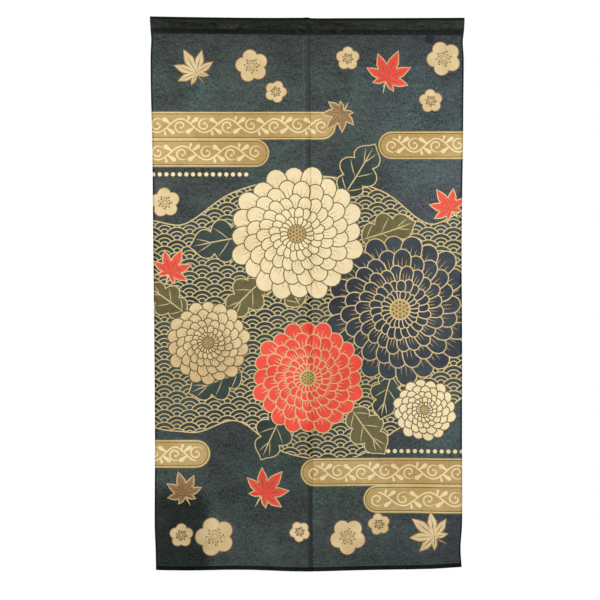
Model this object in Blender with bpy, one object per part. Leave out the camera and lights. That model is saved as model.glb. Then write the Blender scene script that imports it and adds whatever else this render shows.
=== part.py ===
"""Noren, a split doorway curtain: two sheer hemmed panels under one rod sleeve.

Metres, +Z up. X runs across the doorway, the front faces -Y, and the origin is the
middle of the top edge, where the sleeve bears on its rod. The panels hang as they do on
the real curtain: the left one laps over the right one, and soft folds open out from
nothing under the heading to their full depth at the foot. Each sheet stands for one
layer of cloth, and is thicker where the cloth is turned in and sewn.
"""

import math
from bisect import bisect_right
from typing import NamedTuple

import bmesh
import bpy

MM = 0.001

# Cloth
CLOTH_THICK = 1.2 * MM
HEM_THICK = 1.8 * MM
SIDE_HEM = 5 * MM
FOOT_HEM = 12 * MM
HEM_STEP = 0.6 * MM  # the way over which a hem thins to one layer
SEWN_GAP = 0.3 * MM  # between pieces that are sewn together

# Where the panels lap
LAP_SHIFT = 1.1 * MM  # each panel's way off the surface that both hang on
LAP_HALF = 26 * MM  # the shift is whole this far from the middle
LAP_EASE = 120 * MM  # and gone this far from it

# Heading
FULL_DROP = 1498 * MM
HEADING_DROP = 45.5 * MM
BAND_HEIGHT = 13 * MM
BAND_THICK = 3.0 * MM
SLEEVE_RADIUS = 9.0 * MM  # outside, round the rod
SLEEVE_WALL = 1.0 * MM
TURNED_IN = 0.6 * MM  # added to the sleeve where hems lie in it

# Label, behind the right panel
LABEL_THICK = 1.0 * MM
LABEL_LEFT = 322 * MM
LABEL_RIGHT = 343 * MM
LABEL_LENGTH = 22 * MM

# Steps that the shapes are made in
PANEL_COLUMNS = 17
PANEL_ROWS = 26
HEADING_COLUMNS = 12  # in each half
SLEEVE_ARC_STEPS = 8
SLEEVE_TAPER_STEPS = 4
LABEL_COLUMNS = 2
LABEL_ROWS = 3


class EdgeRow(NamedTuple):
    """The curtain's outer edges at one drop below the top edge, in mm."""

    drop: float
    left: float
    right: float


class LapRow(NamedTuple):
    """The panels' inner edges at one drop, in mm. The right panel's edge is hidden."""

    drop: float
    over: float
    under: float


class HeadingRow(NamedTuple):
    """The heading's upper and lower outline at one place across, in mm."""

    x: float
    top: float
    foot: float


class FootRow(NamedTuple):
    """The height of the curtain's foot at one place across, in mm."""

    x: float
    foot: float


class FoldRow(NamedTuple):
    """A soft upright fold: how far it stands to the front at the foot, in mm."""

    x: float
    half_width: float
    out: float
    starts: float


EDGES = (
    EdgeRow(drop=-4, left=-425.8, right=426.0),
    EdgeRow(drop=33, left=-424.4, right=424.9),
    EdgeRow(drop=62, left=-422.4, right=421.6),
    EdgeRow(drop=110, left=-424.1, right=424.0),
    EdgeRow(drop=212, left=-423.1, right=423.2),
    EdgeRow(drop=342, left=-419.6, right=422.0),
    EdgeRow(drop=600, left=-416.9, right=418.4),
    EdgeRow(drop=900, left=-413.4, right=419.3),
    EdgeRow(drop=1150, left=-411.7, right=419.0),
    EdgeRow(drop=1380, left=-412.4, right=419.0),
    EdgeRow(drop=1446, left=-409.8, right=414.9),
    EdgeRow(drop=1500, left=-408.8, right=418.0),
)

LAP = (
    LapRow(drop=-4, over=7.0, under=-6.1),
    LapRow(drop=550, over=9.6, under=-2.3),
    LapRow(drop=913, over=12.3, under=0.2),
    LapRow(drop=1500, over=14.8, under=3.1),
)

HEADING = (
    HeadingRow(x=-426, top=3.5, foot=-41.2),
    HeadingRow(x=-340, top=1.9, foot=-42.4),
    HeadingRow(x=-230, top=0.4, foot=-43.6),
    HeadingRow(x=-128, top=-0.5, foot=-44.6),
    HeadingRow(x=-14, top=-0.8, foot=-45.4),
    HeadingRow(x=0, top=0.0, foot=-45.5),
    HeadingRow(x=14, top=-1.0, foot=-45.5),
    HeadingRow(x=120, top=-1.35, foot=-45.7),
    HeadingRow(x=251, top=-1.1, foot=-46.0),
    HeadingRow(x=426, top=-0.3, foot=-46.3),
)

FOOT = (
    FootRow(x=-409, foot=-1494.4),
    FootRow(x=-350, foot=-1495.0),
    FootRow(x=-175, foot=-1496.3),
    FootRow(x=8, foot=-1497.8),
    FootRow(x=160, foot=-1496.4),
    FootRow(x=268, foot=-1495.5),
    FootRow(x=333, foot=-1492.8),
    FootRow(x=376, foot=-1489.2),
    FootRow(x=418, foot=-1486.0),
)

FOLDS = (
    FoldRow(x=-350, half_width=150, out=12.0, starts=60),
    FoldRow(x=-175, half_width=130, out=-11.0, starts=140),
    FoldRow(x=4, half_width=150, out=12.0, starts=90),
    FoldRow(x=118, half_width=90, out=-3.0, starts=420),
    FoldRow(x=250, half_width=150, out=-13.0, starts=60),
    FoldRow(x=402, half_width=110, out=8.0, starts=120),
)


def read(rows, column, place):
    """A column of a table, in metres, on a smooth curve through its rows."""
    keys = [row[0] * MM for row in rows]
    values = [getattr(row, column) * MM for row in rows]
    place = min(max(place, keys[0]), keys[-1])
    low = min(bisect_right(keys, place) - 1, len(rows) - 2)

    def slope(i):
        before, after = max(i - 1, 0), min(i + 1, len(rows) - 1)
        return (values[after] - values[before]) / (keys[after] - keys[before])

    span = keys[low + 1] - keys[low]
    t = (place - keys[low]) / span
    return (
        (2 * t**3 - 3 * t**2 + 1) * values[low]
        + (t**3 - 2 * t**2 + t) * span * slope(low)
        + (3 * t**2 - 2 * t**3) * values[low + 1]
        + (t**3 - t**2) * span * slope(low + 1)
    )


def ease(t):
    """From 0 to 1 with a level start and end."""
    t = min(max(t, 0.0), 1.0)
    return t * t * (3 - 2 * t)


def fold_depth(x, drop):
    """Y of the surface that both panels hang on."""
    y = 0.0
    for fold in FOLDS:
        away = (x - fold.x * MM) / (fold.half_width * MM)
        start = fold.starts * MM
        if abs(away) < 1 and drop > start:
            grown = ease((drop - start) / (FULL_DROP - start)) ** 0.75
            y -= fold.out * MM * grown * math.cos(away * math.pi / 2) ** 2
    return y


def lap_shift(x):
    """How far a panel stands off the shared surface, so that the two lap cleanly."""
    return LAP_SHIFT * (1 - ease((abs(x) - LAP_HALF) / (LAP_EASE - LAP_HALF)))


def spaced(start, end, count, first_hem=0.0, last_hem=0.0):
    """Places from start to end, with a hem's two lines inside each end that has one."""
    before = [start, start + first_hem] if first_hem else []
    after = [end - last_hem, end] if last_hem else []
    inner_start = before[-1] + HEM_STEP if before else start
    inner_end = after[0] - HEM_STEP if after else end
    step = (inner_end - inner_start) / count
    return before + [inner_start + step * i for i in range(count + 1)] + after


def cloth_material(name, color, roughness):
    """A matt woven finish."""
    made = bpy.data.materials.new(name)
    made.use_nodes = True
    shader = made.node_tree.nodes["Principled BSDF"]
    shader.inputs["Base Color"].default_value = (*color, 1.0)
    shader.inputs["Roughness"].default_value = roughness
    shader.inputs["Metallic"].default_value = 0.0
    made.diffuse_color = (*color, 1.0)
    return made


def add_object(name, work, finish):
    """Put a finished bmesh into the scene under its node's name."""
    mesh = bpy.data.meshes.new(name)
    work.to_mesh(mesh)
    work.free()
    mesh.materials.append(finish)
    made = bpy.data.objects.new(name, mesh)
    bpy.context.scene.collection.objects.link(made)
    return made


def add_sheet(name, grid, thick, finish):
    """A sheet of cloth on rows of points from left to right, top row first."""
    work = bmesh.new()
    rows = [[work.verts.new(point) for point in row] for row in grid]
    for upper, lower in zip(rows, rows[1:]):
        for i in range(len(upper) - 1):
            work.faces.new((upper[i], lower[i], lower[i + 1], upper[i + 1]))
    made = add_object(name, work, finish)
    wall = made.modifiers.new("cloth", "SOLIDIFY")
    wall.thickness = thick
    wall.offset = 0.0
    return made


def thicken_hems(sheet, in_hem):
    """Give a sheet its hems' thickness where in_hem, one value a point, is true."""
    hems = sheet.vertex_groups.new(name="hems")
    hems.add([i for i, hemmed in enumerate(in_hem) if hemmed], 1.0, "REPLACE")
    wall = sheet.modifiers["cloth"]
    wall.thickness = HEM_THICK
    wall.vertex_group = hems.name
    wall.thickness_vertex_group = CLOTH_THICK / HEM_THICK


def add_panel(name, left_edge, right_edge, side, finish):
    """One hemmed panel, from the heading's band to the foot.

    An edge is a table and its column, and side is -1 in front of the lap, 1 behind.
    """
    grid, in_hem = [], []
    nominal_drops = spaced(HEADING_DROP, FULL_DROP, PANEL_ROWS, last_hem=FOOT_HEM)
    for nominal in nominal_drops:
        left, right = read(*left_edge, nominal), read(*right_edge, nominal)
        down = (nominal - HEADING_DROP) / (FULL_DROP - HEADING_DROP)
        row = []
        for x in spaced(left, right, PANEL_COLUMNS, SIDE_HEM, SIDE_HEM):
            top = read(HEADING, "foot", x) - SEWN_GAP
            z = top + (read(FOOT, "foot", x) - top) * down
            row.append((x, fold_depth(x, -z) + side * lap_shift(x), z))
            from_side = min(x - left, right - x)
            from_foot = FULL_DROP - nominal
            half_step = HEM_STEP / 2
            in_hem.append(from_side < SIDE_HEM + half_step or from_foot < FOOT_HEM + half_step)
        grid.append(row)
    thicken_hems(add_sheet(name, grid, CLOTH_THICK, finish), in_hem)


def sleeve_profile(top, foot, turned_in):
    """The heading's outer and inner outline, as (y, z) points round it from its foot.

    Both go up the front, over the rod and down the back. The inner one starts and ends
    at the pocket's lowest point.
    """
    radius = SLEEVE_RADIUS + turned_in
    band = BAND_THICK / 2 + turned_in
    axis = top - radius
    seam = foot + BAND_HEIGHT
    pocket = SLEEVE_RADIUS - SLEEVE_WALL
    outer, inner = [(-band, foot), (-band, seam)], [(0.0, seam)]
    for i in range(1, SLEEVE_TAPER_STEPS):
        up = i / SLEEVE_TAPER_STEPS
        open_share = math.sin(up * math.pi / 2) ** 2
        z = seam + (axis - seam) * up
        outer.append((-band - (radius - band) * open_share, z))
        inner.append((-pocket * open_share, z))
    taper = len(inner)
    for i in range(SLEEVE_ARC_STEPS + 1):
        turn = math.pi * i / SLEEVE_ARC_STEPS
        outer.append((-radius * math.cos(turn), axis + radius * math.sin(turn)))
        inner.append((-pocket * math.cos(turn), axis + pocket * math.sin(turn)))
    outer += [(-y, z) for y, z in reversed(outer[: taper + 1])]
    inner += [(-y, z) for y, z in reversed(inner[1:taper])]
    return outer, inner


def heading_stations():
    """Places across the heading, each with what the hems in it add to its walls."""
    left, right = EDGES[0].left * MM, EDGES[0].right * MM
    lap_left, lap_right = LAP[0].under * MM, LAP[0].over * MM
    stations = []
    for x in spaced(left, lap_left, HEADING_COLUMNS, SIDE_HEM, HEM_STEP):
        stations.append((x, TURNED_IN if x < left + SIDE_HEM * 1.01 or x == lap_left else 0.0))
    for x in spaced(lap_right, right, HEADING_COLUMNS, HEM_STEP, SIDE_HEM):
        stations.append((x, TURNED_IN if x > right - SIDE_HEM * 1.01 or x == lap_right else 0.0))
    return stations


def add_heading(finish):
    """The rod sleeve: a pocket open at both ends over a band that is sewn flat."""
    left, right = EDGES[0].left * MM, EDGES[0].right * MM
    work = bmesh.new()
    outers, inners = [], []
    for x, turned_in in heading_stations():
        share = (x - left) / (right - left)
        outline = sleeve_profile(read(HEADING, "top", x), read(HEADING, "foot", x), turned_in)
        rings = []
        for ring in outline:
            points = []
            for y, z in ring:
                edge_left, edge_right = read(EDGES, "left", -z), read(EDGES, "right", -z)
                points.append(work.verts.new((edge_left + (edge_right - edge_left) * share, y, z)))
            rings.append(points)
        outers.append(rings[0])
        inners.append(rings[1])
    for loops, inward in ((outers, False), (inners, True)):
        for one, other in zip(loops, loops[1:]):
            for i in range(len(one)):
                j = (i + 1) % len(one)
                face = [one[i], one[j], other[j], other[i]]
                work.faces.new(face[::-1] if inward else face)
    for outer, inner, flip in ((outers[0], inners[0], True), (outers[-1], inners[-1], False)):
        faces = [[outer[-1], outer[0], outer[1], inner[0], outer[-2]]]
        walls = outer[1:-1]
        pocket = inner + inner[:1]
        for i in range(len(walls) - 1):
            faces.append([walls[i], walls[i + 1], pocket[i + 1], pocket[i]])
        for face in faces:
            work.faces.new(face[::-1] if flip else face)
    bmesh.ops.recalc_face_normals(work, faces=work.faces)
    return add_object("heading", work, finish)


def add_label(finish):
    """The small plain label that hangs from the heading's seam behind the right panel."""
    behind = CLOTH_THICK / 2 + SEWN_GAP + LABEL_THICK / 2
    across = spaced(LABEL_LEFT, LABEL_RIGHT, LABEL_COLUMNS)
    grid = []
    for down in spaced(0.0, LABEL_LENGTH, LABEL_ROWS):
        tops = [read(HEADING, "foot", x) - SEWN_GAP for x in across]
        grid.append(
            [(x, fold_depth(x, down - top) + behind, top - down) for x, top in zip(across, tops)]
        )
    return add_sheet("label", grid, LABEL_THICK, finish)


def build():
    """Make the whole curtain in an empty scene."""
    for old in list(bpy.data.objects):
        bpy.data.objects.remove(old, do_unlink=True)
    printed = cloth_material("printed_cloth", (0.056, 0.066, 0.062), 0.85)
    sewn = cloth_material("sewn_heading", (0.018, 0.021, 0.018), 0.85)
    ribbon = cloth_material("label_ribbon", (0.05, 0.06, 0.09), 0.7)
    add_panel("left_panel", (EDGES, "left"), (LAP, "over"), -1, printed)
    add_panel("right_panel", (LAP, "under"), (EDGES, "right"), 1, printed)
    add_heading(sewn)
    add_label(ribbon)


build()
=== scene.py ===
"""A noren: a sheer printed curtain of two lapped panels, hung by the rod sleeve along its top.

Lengths are in metres unless a name says otherwise. X runs to the right, Y away from the front, and Z up.
The cloth starts just above Z = 0 and hangs down 1.5 m. Each panel is cut flat, its printed shapes are cut
into its faces, and the cut is then folded into its hems and sleeve and hung in its soft folds.
"""
from __future__ import annotations

import logging
import math
from collections.abc import Mapping, Sequence
from dataclasses import dataclass, field
from enum import Enum

import bpy
import numpy as np
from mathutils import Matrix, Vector
from mathutils.geometry import delaunay_2d_cdt


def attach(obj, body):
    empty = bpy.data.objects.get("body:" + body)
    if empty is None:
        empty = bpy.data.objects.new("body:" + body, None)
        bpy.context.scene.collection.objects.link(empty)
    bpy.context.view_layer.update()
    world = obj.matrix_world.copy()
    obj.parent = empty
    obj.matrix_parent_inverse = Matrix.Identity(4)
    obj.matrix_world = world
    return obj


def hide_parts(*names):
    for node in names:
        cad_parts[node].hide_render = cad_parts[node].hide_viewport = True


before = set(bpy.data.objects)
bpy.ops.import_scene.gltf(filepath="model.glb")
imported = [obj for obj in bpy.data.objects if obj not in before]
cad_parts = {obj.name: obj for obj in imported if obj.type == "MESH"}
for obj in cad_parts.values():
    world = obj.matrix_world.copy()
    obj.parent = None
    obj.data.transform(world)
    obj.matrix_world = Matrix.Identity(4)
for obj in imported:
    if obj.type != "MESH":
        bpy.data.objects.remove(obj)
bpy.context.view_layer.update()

Array = np.ndarray
Pair = tuple[float, float]
Triple = tuple[float, float, float]
Colour = Triple
Line = Array | Sequence[Pair]

MM = 0.001
FULL_DROP = 1498 * MM
HEADING_DROP = 45.5 * MM
BAND_HEIGHT = 13 * MM
SEWN_GAP = 0.3 * MM
LAP_SHIFT = 1.1 * MM
LAP_HALF = 26 * MM
LAP_EASE = 120 * MM
LAPPED_WIDTH = 12.4 * MM
THREAD_PITCH = 0.42 * MM
LEAF_RIM = 2.8

# Places on the flat cloth are rounded to so many digits, and no divisor is below the tiny number.
DIGITS = 7
TINY = 1e-9


def ease(share: Array) -> Array:
    """Runs softly from 0 to 1 while its argument does."""
    clipped = np.clip(share, 0.0, 1.0)
    return clipped * clipped * (3 - 2 * clipped)


def spread(start: float, end: float, pitch: float) -> Array:
    """Evenly spaced places from a start to an end, at most a pitch apart."""
    return np.linspace(start, end, max(2, math.ceil(abs(end - start) / pitch) + 1))


def in_order(places: Sequence[Array]) -> Array:
    """All the places in order, each once, rounded to a tenth of a micrometre."""
    return np.unique(np.round(np.concatenate(places), DIGITS))


# ---- How the curtain hangs ----


@dataclass(frozen=True)
class Rows:
    """Measured rows in millimetres, read as smooth curves between them."""

    rows: tuple[tuple[float, ...], ...]

    def read(self, column: int, place: Array) -> Array:
        """Reads one column at places along the first.

        Args:
            column: Which value of the rows is read.
            place: Places in metres; past either end, the end row holds.

        Returns:
            The values in metres.
        """
        keys = np.array([row[0] for row in self.rows]) * MM
        values = np.array([row[column] for row in self.rows]) * MM
        before = np.maximum(np.arange(len(keys)) - 1, 0)
        after = np.minimum(np.arange(len(keys)) + 1, len(keys) - 1)
        slopes = (values[after] - values[before]) / (keys[after] - keys[before])
        held = np.clip(place, keys[0], keys[-1])
        i = np.clip(np.searchsorted(keys, held, side="right") - 1, 0, len(keys) - 2)
        gap = keys[i + 1] - keys[i]
        t = (held - keys[i]) / gap
        start = (2 * t**3 - 3 * t**2 + 1) * values[i] + (t**3 - 2 * t**2 + t) * gap * slopes[i]
        return start + (3 * t**2 - 2 * t**3) * values[i + 1] + (t**3 - t**2) * gap * slopes[i + 1]


# How far down, and X of the left and of the right outer edge there.
EDGES = Rows((
    (-4, -425.8, 426.0), (33, -424.4, 424.9), (62, -422.4, 421.6), (110, -424.1, 424.0),
    (212, -423.1, 423.2), (342, -419.6, 422.0), (600, -416.9, 418.4), (900, -413.4, 419.3),
    (1150, -411.7, 419.0), (1380, -412.4, 419.0), (1446, -409.8, 414.9), (1500, -408.8, 418.0),
))
# How far down, and X of the left panel's inner edge and of the right panel's.
LAP = Rows(((-4, 7.0, -6.1), (550, 9.6, -2.3), (913, 12.3, 0.2), (1500, 14.8, 3.1)))
# X, and the heights of the sleeve's top and of the sewn band's foot there.
HEADING = Rows((
    (-426, 3.5, -41.2), (-340, 1.9, -42.4), (-230, 0.4, -43.6), (-128, -0.5, -44.6), (-14, -0.8, -45.4),
    (0, 0.0, -45.5), (14, -1.0, -45.5), (120, -1.35, -45.7), (251, -1.1, -46.0), (426, -0.3, -46.3),
))
# X, and the height of the finished foot there.
FOOT = Rows((
    (-409, -1494.4), (-350, -1495.0), (-175, -1496.3), (8, -1497.8), (160, -1496.4), (268, -1495.5),
    (333, -1492.8), (376, -1489.2), (418, -1486.0),
))


@dataclass(frozen=True)
class Fold:
    """One broad soft fold that opens downwards, in millimetres."""

    x: float
    half_width: float
    out: float
    starts: float

    def depth(self, x: Array, drop: Array) -> Array:
        """Reads the fold.

        Args:
            x: Places across.
            drop: How far each place lies below Z = 0.

        Returns:
            How far the fold brings the cloth back.
        """
        away = np.clip((x - self.x * MM) / (self.half_width * MM), -1.0, 1.0)
        share = ease((drop - self.starts * MM) / (FULL_DROP - self.starts * MM)) ** 0.75
        return -self.out * MM * share * np.cos(away * math.pi / 2) ** 2


FOLDS = (
    Fold(-350, 150, 12, 60), Fold(-175, 130, -11, 140), Fold(4, 150, 12, 90), Fold(118, 90, -3, 420),
    Fold(250, 150, -13, 60), Fold(402, 110, 8, 120),
)


@dataclass(frozen=True)
class Crease:
    """A soft trough along a line of the cloth, in millimetres; a ridge where its depth is below nought."""

    x_start: float
    z_start: float
    x_end: float
    z_end: float
    width: float
    depth: float

    def push(self, x: Array, z: Array) -> Array:
        """Reads the crease.

        Args:
            x: Places across.
            z: Places up.

        Returns:
            How far the crease brings the cloth back.
        """
        run_x = (self.x_end - self.x_start) * MM
        run_z = (self.z_end - self.z_start) * MM
        length = math.hypot(run_x, run_z)
        from_x = x - self.x_start * MM
        from_z = z - self.z_start * MM
        along = np.clip((from_x * run_x + from_z * run_z) / length**2, 0.0, 1.0)
        across = (from_x * run_z - from_z * run_x) / length
        trough = np.exp(-((across / (self.width * MM)) ** 2))
        return self.depth * MM * np.sin(along * math.pi) ** 0.8 * trough


# X and Z of each crease's start and end, its width and its depth.
PANEL_CREASES = [Crease(*row) for row in (
    (-395, -60, -300, -330, 16, 1.0), (-120, -55, -178, -260, 14, -0.9), (-60, -52, -20, -210, 12, 0.8),
    (70, -55, 40, -240, 13, -0.8), (205, -55, 262, -300, 16, 1.0), (330, -52, 300, -200, 12, -0.8),
    (395, -60, 352, -290, 15, 0.9), (-240, -52, -262, -170, 11, 0.7),
    (-405, -1180, -350, -1440, 18, 1.2), (-255, -1240, -232, -1470, 16, -1.1),
    (-90, -1260, -60, -1480, 15, 1.0), (70, -1250, 96, -1470, 15, -0.9),
    (190, -1230, 170, -1480, 17, 1.1), (322, -1200, 352, -1465, 16, -1.2),
    (404, -1240, 380, -1460, 12, 1.0), (-380, -760, -210, -842, 20, 0.8),
    (120, -640, 330, -742, 22, -0.8), (-300, -1010, -60, -958, 22, 0.7),
)]
# The same, with lengths of cloth above the band's foot in place of Z.
POCKET_CREASES = [Crease(*row) for row in (
    (-410, 32, -384, 24, 4.0, -0.8), (-372, 14, -352, 30, 3.5, 0.9), (-330, 35, -306, 31, 3.0, -0.9),
    (-318, 26, -292, 29, 3.0, 0.8), (-306, 34, -290, 27, 3.0, -1.3), (-296, 26, -280, 22, 3.0, 1.1),
    (-266, 31, -242, 22, 3.0, 1.3), (-242, 29, -214, 14, 3.0, -1.3), (-219, 30, -200, 13, 3.0, -1.5),
    (-203, 12, -182, 30, 3.0, -1.7), (-196, 8, -168, 22, 3.0, 1.2), (-178, 15, -150, 26, 3.5, -0.9),
    (-126, 32, -104, 28, 3.0, -0.9), (-96, 18, -64, 24, 3.5, 0.8), (-58, 33, -30, 24, 3.5, -0.9),
    (-26, 25, -3, 12, 3.0, -1.6), (-32, 11, -14, 4, 3.0, -1.2), (0, 38, 18, 28, 3.0, -1.4),
    (-6, 22, 14, 17, 3.0, 1.2), (12, 13, 32, 6, 3.0, -1.4), (24, 27, 58, 20, 3.0, 1.0),
    (30, 19, 64, 14, 3.0, -0.9), (62, 8, 80, 2, 3.0, 1.1), (78, 5, 98, 18, 3.0, -1.5),
    (92, 6, 118, 20, 3.0, 1.0), (120, 30, 152, 25, 3.5, -0.9), (170, 2, 174, 15, 2.6, -1.6),
    (176, 31, 208, 25, 3.5, -0.8), (222, 16, 250, 22, 3.0, 0.9), (274, 26, 282, 6, 2.8, -1.5),
    (296, 30, 320, 26, 3.0, -1.2), (298, 25, 322, 22, 2.6, 0.9), (298, 20, 316, 19, 2.6, -1.0),
    (358, 34, 384, 20, 3.0, -1.3), (372, 14, 398, 22, 3.0, 0.8), (400, 30, 420, 20, 4.0, -0.8),
    (-390, 84, -350, 68, 4.0, 1.1), (-230, 70, -190, 84, 4.0, -1.0), (-70, 85, -36, 70, 4.0, 1.0),
    (60, 70, 96, 86, 4.0, -1.1), (214, 85, 250, 70, 4.0, 1.0), (350, 70, 386, 84, 4.0, -1.0),
)]

# Millimetres of cloth above the band's foot, and how many millimetres its puckers reach there.
PUCKER_REACH = (
    (-70, 0.0), (-36, 0.12), (-12, 0.34), (-2, 0.50), (2, 0.36), (6, 0.30), (11, 0.36), (15, 0.60),
    (22, 0.34), (36, 0.08), (75, 0.08), (86, 0.4), (90, 0.3), (96, 0.3), (100, 0.1),
)

# Each wave's length and start in millimetres, and its share.
Waviness = tuple[Triple, ...]
PUCKER_WAVES: Waviness = ((11.3, 2, 0.5), (17.9, 5, 0.7), (29.0, 11, 0.6))
FOOT_WAVES: Waviness = ((23, 4, 0.3), (41, 9, 0.5), (67, 30, 0.6))

# X of each pair of side hems, and the waves down them.
HEM_WAVES: tuple[tuple[float, Waviness], ...] = (
    (-419.0, ((31, 4, 0.35), (53, 9, 0.5), (97, 30, 0.6))),
    (6.0, ((37, 14, 0.3), (61, 2, 0.45), (118, 50, 0.6))),
    (420.0, ((29, 11, 0.35), (57, 21, 0.5), (89, 3, 0.6))),
)

# How deep the hems' ripples are, and over how many millimetres they fade out into the cloth. Down the
# side hems they start and are whole at these millimetres.
SIDE_RIPPLE, SIDE_FADE = 0.5 * MM, 17
FOOT_RIPPLE, FOOT_FADE = 0.55 * MM, 24
RIPPLES_START, RIPPLES_WHOLE = 46, 96


def swing(place: Array, waves: Waviness) -> Array:
    """Uneven ripples along a line."""
    turns = [share * np.sin(math.tau * (place / MM - start) / length) for length, start, share in waves]
    return np.sum(turns, axis=0)


def pucker(x: Array, w: Array) -> Array:
    """Short puckers that the sewing of the heading draws into the cloth.

    Args:
        x: Places across.
        w: Lengths of cloth above the band's foot; below it, less than nought.

    Returns:
        How far the cloth goes back.
    """
    reach = np.interp(w / MM, *zip(*PUCKER_REACH))
    slanted = x + 0.35 * np.abs(w - 0.5 * BAND_HEIGHT)
    short = swing(slanted, PUCKER_WAVES)
    slow = 0.75 + 0.35 * np.sin(x / 0.031 + 1.3) * np.sin(x / 0.083)
    return reach * MM * short * slow


def creased(x: Array, w: Array) -> Array:
    """How far the narrow creases of the heading push its cloth in."""
    return np.sum([crease.push(x, w) for crease in POCKET_CREASES], axis=0)


def relief(x: Array, z: Array) -> Array:
    """Small unevenness of the hanging cloth: ripples by the hems and soft creases.

    Args:
        x: Places across.
        z: Heights.

    Returns:
        How far the cloth goes back.
    """
    back = np.zeros_like(x)
    below_heading = ease((-z / MM - RIPPLES_START) / (RIPPLES_WHOLE - RIPPLES_START))
    for place, waves in HEM_WAVES:
        near_side = np.exp(-np.abs(x / MM - place) / SIDE_FADE)
        back += SIDE_RIPPLE * swing(z, waves) * near_side * below_heading
    above_foot = (z - FOOT.read(1, x)) / MM
    back += FOOT_RIPPLE * swing(x, FOOT_WAVES) * np.exp(-np.maximum(above_foot, 0) / FOOT_FADE)
    for crease in PANEL_CREASES:
        back += crease.push(x, z)
    return back


@dataclass(frozen=True)
class Hem:
    """A hem that is turned twice, told by how far the flat cloth runs past its outer fold."""

    depth: float
    layer: float = 0.22 * MM
    raw_edge: float = 0.6 * MM
    ease_in: float = 4 * MM

    @property
    def stops(self) -> Array:
        """Where each bend and run starts or ends.

        Returns:
            Five places of the flat cloth, past the outer fold's start.
        """
        bend = math.pi * self.layer
        run = self.depth - 1.5 * self.layer
        return np.cumsum([0.0, bend, run, bend / 2, run - self.raw_edge])

    @property
    def lines(self) -> Array:
        """Where the flat cloth gets points at the hem.

        Returns:
            The stops, with places between them that round the bends and places that keep the runs flat.
        """
        stops = self.stops
        near = 0.3 * MM
        rounding = [stops[1] / 3, stops[1] * 2 / 3, (stops[2] + stops[3]) / 2]
        flattening = [stops[0] - near, stops[1] + near, stops[2] - near]
        return np.sort(np.concatenate([stops, rounding, flattening]))

    def behind(self, place: float) -> float:
        """Where the flat cloth comes to lie behind a place of the hem's front."""
        return self.layer - self.stops[1] - (place - self.layer)

    def turned(self, past: Array, layer: Array) -> tuple[Array, Array, Array, Array]:
        """Folds places of the flat cloth.

        Args:
            past: How far each place lies past the outer fold's start; less than nought on the main cloth.
            layer: How far apart the folded layers lie, at each place.

        Returns:
            How far inside the finished edge each place comes, how far back, and the same two parts of the
            direction that the cloth's back faces.
        """
        stops = self.stops
        ends = stops[1:]
        outer, run, inner, last = (np.clip((past - a) / (b - a), 0, 1) for a, b in zip(stops, ends))
        thick = layer - self.layer
        first_turn = outer * math.pi
        second_turn = inner * math.pi
        straight = self.depth - 1.5 * layer
        inward = np.maximum(-past, 0) + self.layer + thick * ease(1 + past / self.ease_in)
        inward += straight * run - (straight - self.raw_edge) * last
        inward += -layer * np.sin(first_turn) + layer / 2 * np.sin(second_turn)
        back = layer * (1 - np.cos(first_turn)) - layer / 2 * (1 - np.cos(second_turn))
        faces_in = np.sin(first_turn) - np.sin(second_turn)
        faces_back = np.cos(first_turn) * np.cos(second_turn)
        return inward, back, faces_in, faces_back


@dataclass(frozen=True)
class Sleeve:
    """The heading's cloth: up the front of the sewn band, round the rod pocket, down and in again."""

    taper: float = 24 * MM
    radius: float = 8.5 * MM
    flap: float = 10.5 * MM
    turn: float = 1.4 * MM

    @property
    def stops(self) -> Array:
        """Where each part of the heading starts or ends.

        Returns:
            Eight lengths of cloth above the band's foot.
        """
        round_top = math.pi * self.radius
        parts = [0.0, BAND_HEIGHT, self.taper, round_top, self.taper, BAND_HEIGHT, self.turn, self.flap]
        return np.cumsum(parts)

    @property
    def lines(self) -> Array:
        """Where the flat cloth gets points along the heading.

        Returns:
            Lengths of cloth above the band's foot.
        """
        stops = self.stops
        pitches = (1.9, 2.0, 1.8, 3.0, 2.3, 0.7, 3.6)
        parts = [spread(a, b, pitch * MM) for a, b, pitch in zip(stops, stops[1:], pitches)]
        return in_order(parts)

    def profile(self, w: Array, foot: Array, top: Array, half: Array) -> tuple[Array, Array]:
        """The cloth's line seen from the side.

        Args:
            w: Lengths of cloth above the band's foot.
            foot: Height of the band's foot at each place.
            top: Height of the sleeve's top at each place.
            half: Half the band's thickness at each place.

        Returns:
            How far back each place comes, and its height.
        """
        stops = self.stops
        band, up, over, down, back_band, turn, flap = (
            np.clip((w - a) / (b - a), 0, 1) for a, b in zip(stops, stops[1:])
        )
        low = foot - SEWN_GAP
        seam = foot + BAND_HEIGHT
        axis = top - self.radius + 0.5 * MM
        opened = up - down
        z = low + (seam - low) * (band - back_band) + (axis - seam) * opened
        z += self.radius * np.sin(math.pi * over)
        inner = 0.1 * MM
        z += self.flap * flap - (half - inner) / 2 * np.sin(math.pi * turn)
        reach = half + (self.radius - half) * np.sin(opened * math.pi / 2) ** 2
        y = -reach * np.cos(math.pi * over) - (half - inner) / 2 * (1 - np.cos(math.pi * turn))
        return y, z


class Side(Enum):
    """The two panels, by the side of the curtain that they hang on."""

    LEFT = -1
    RIGHT = 1


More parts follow.
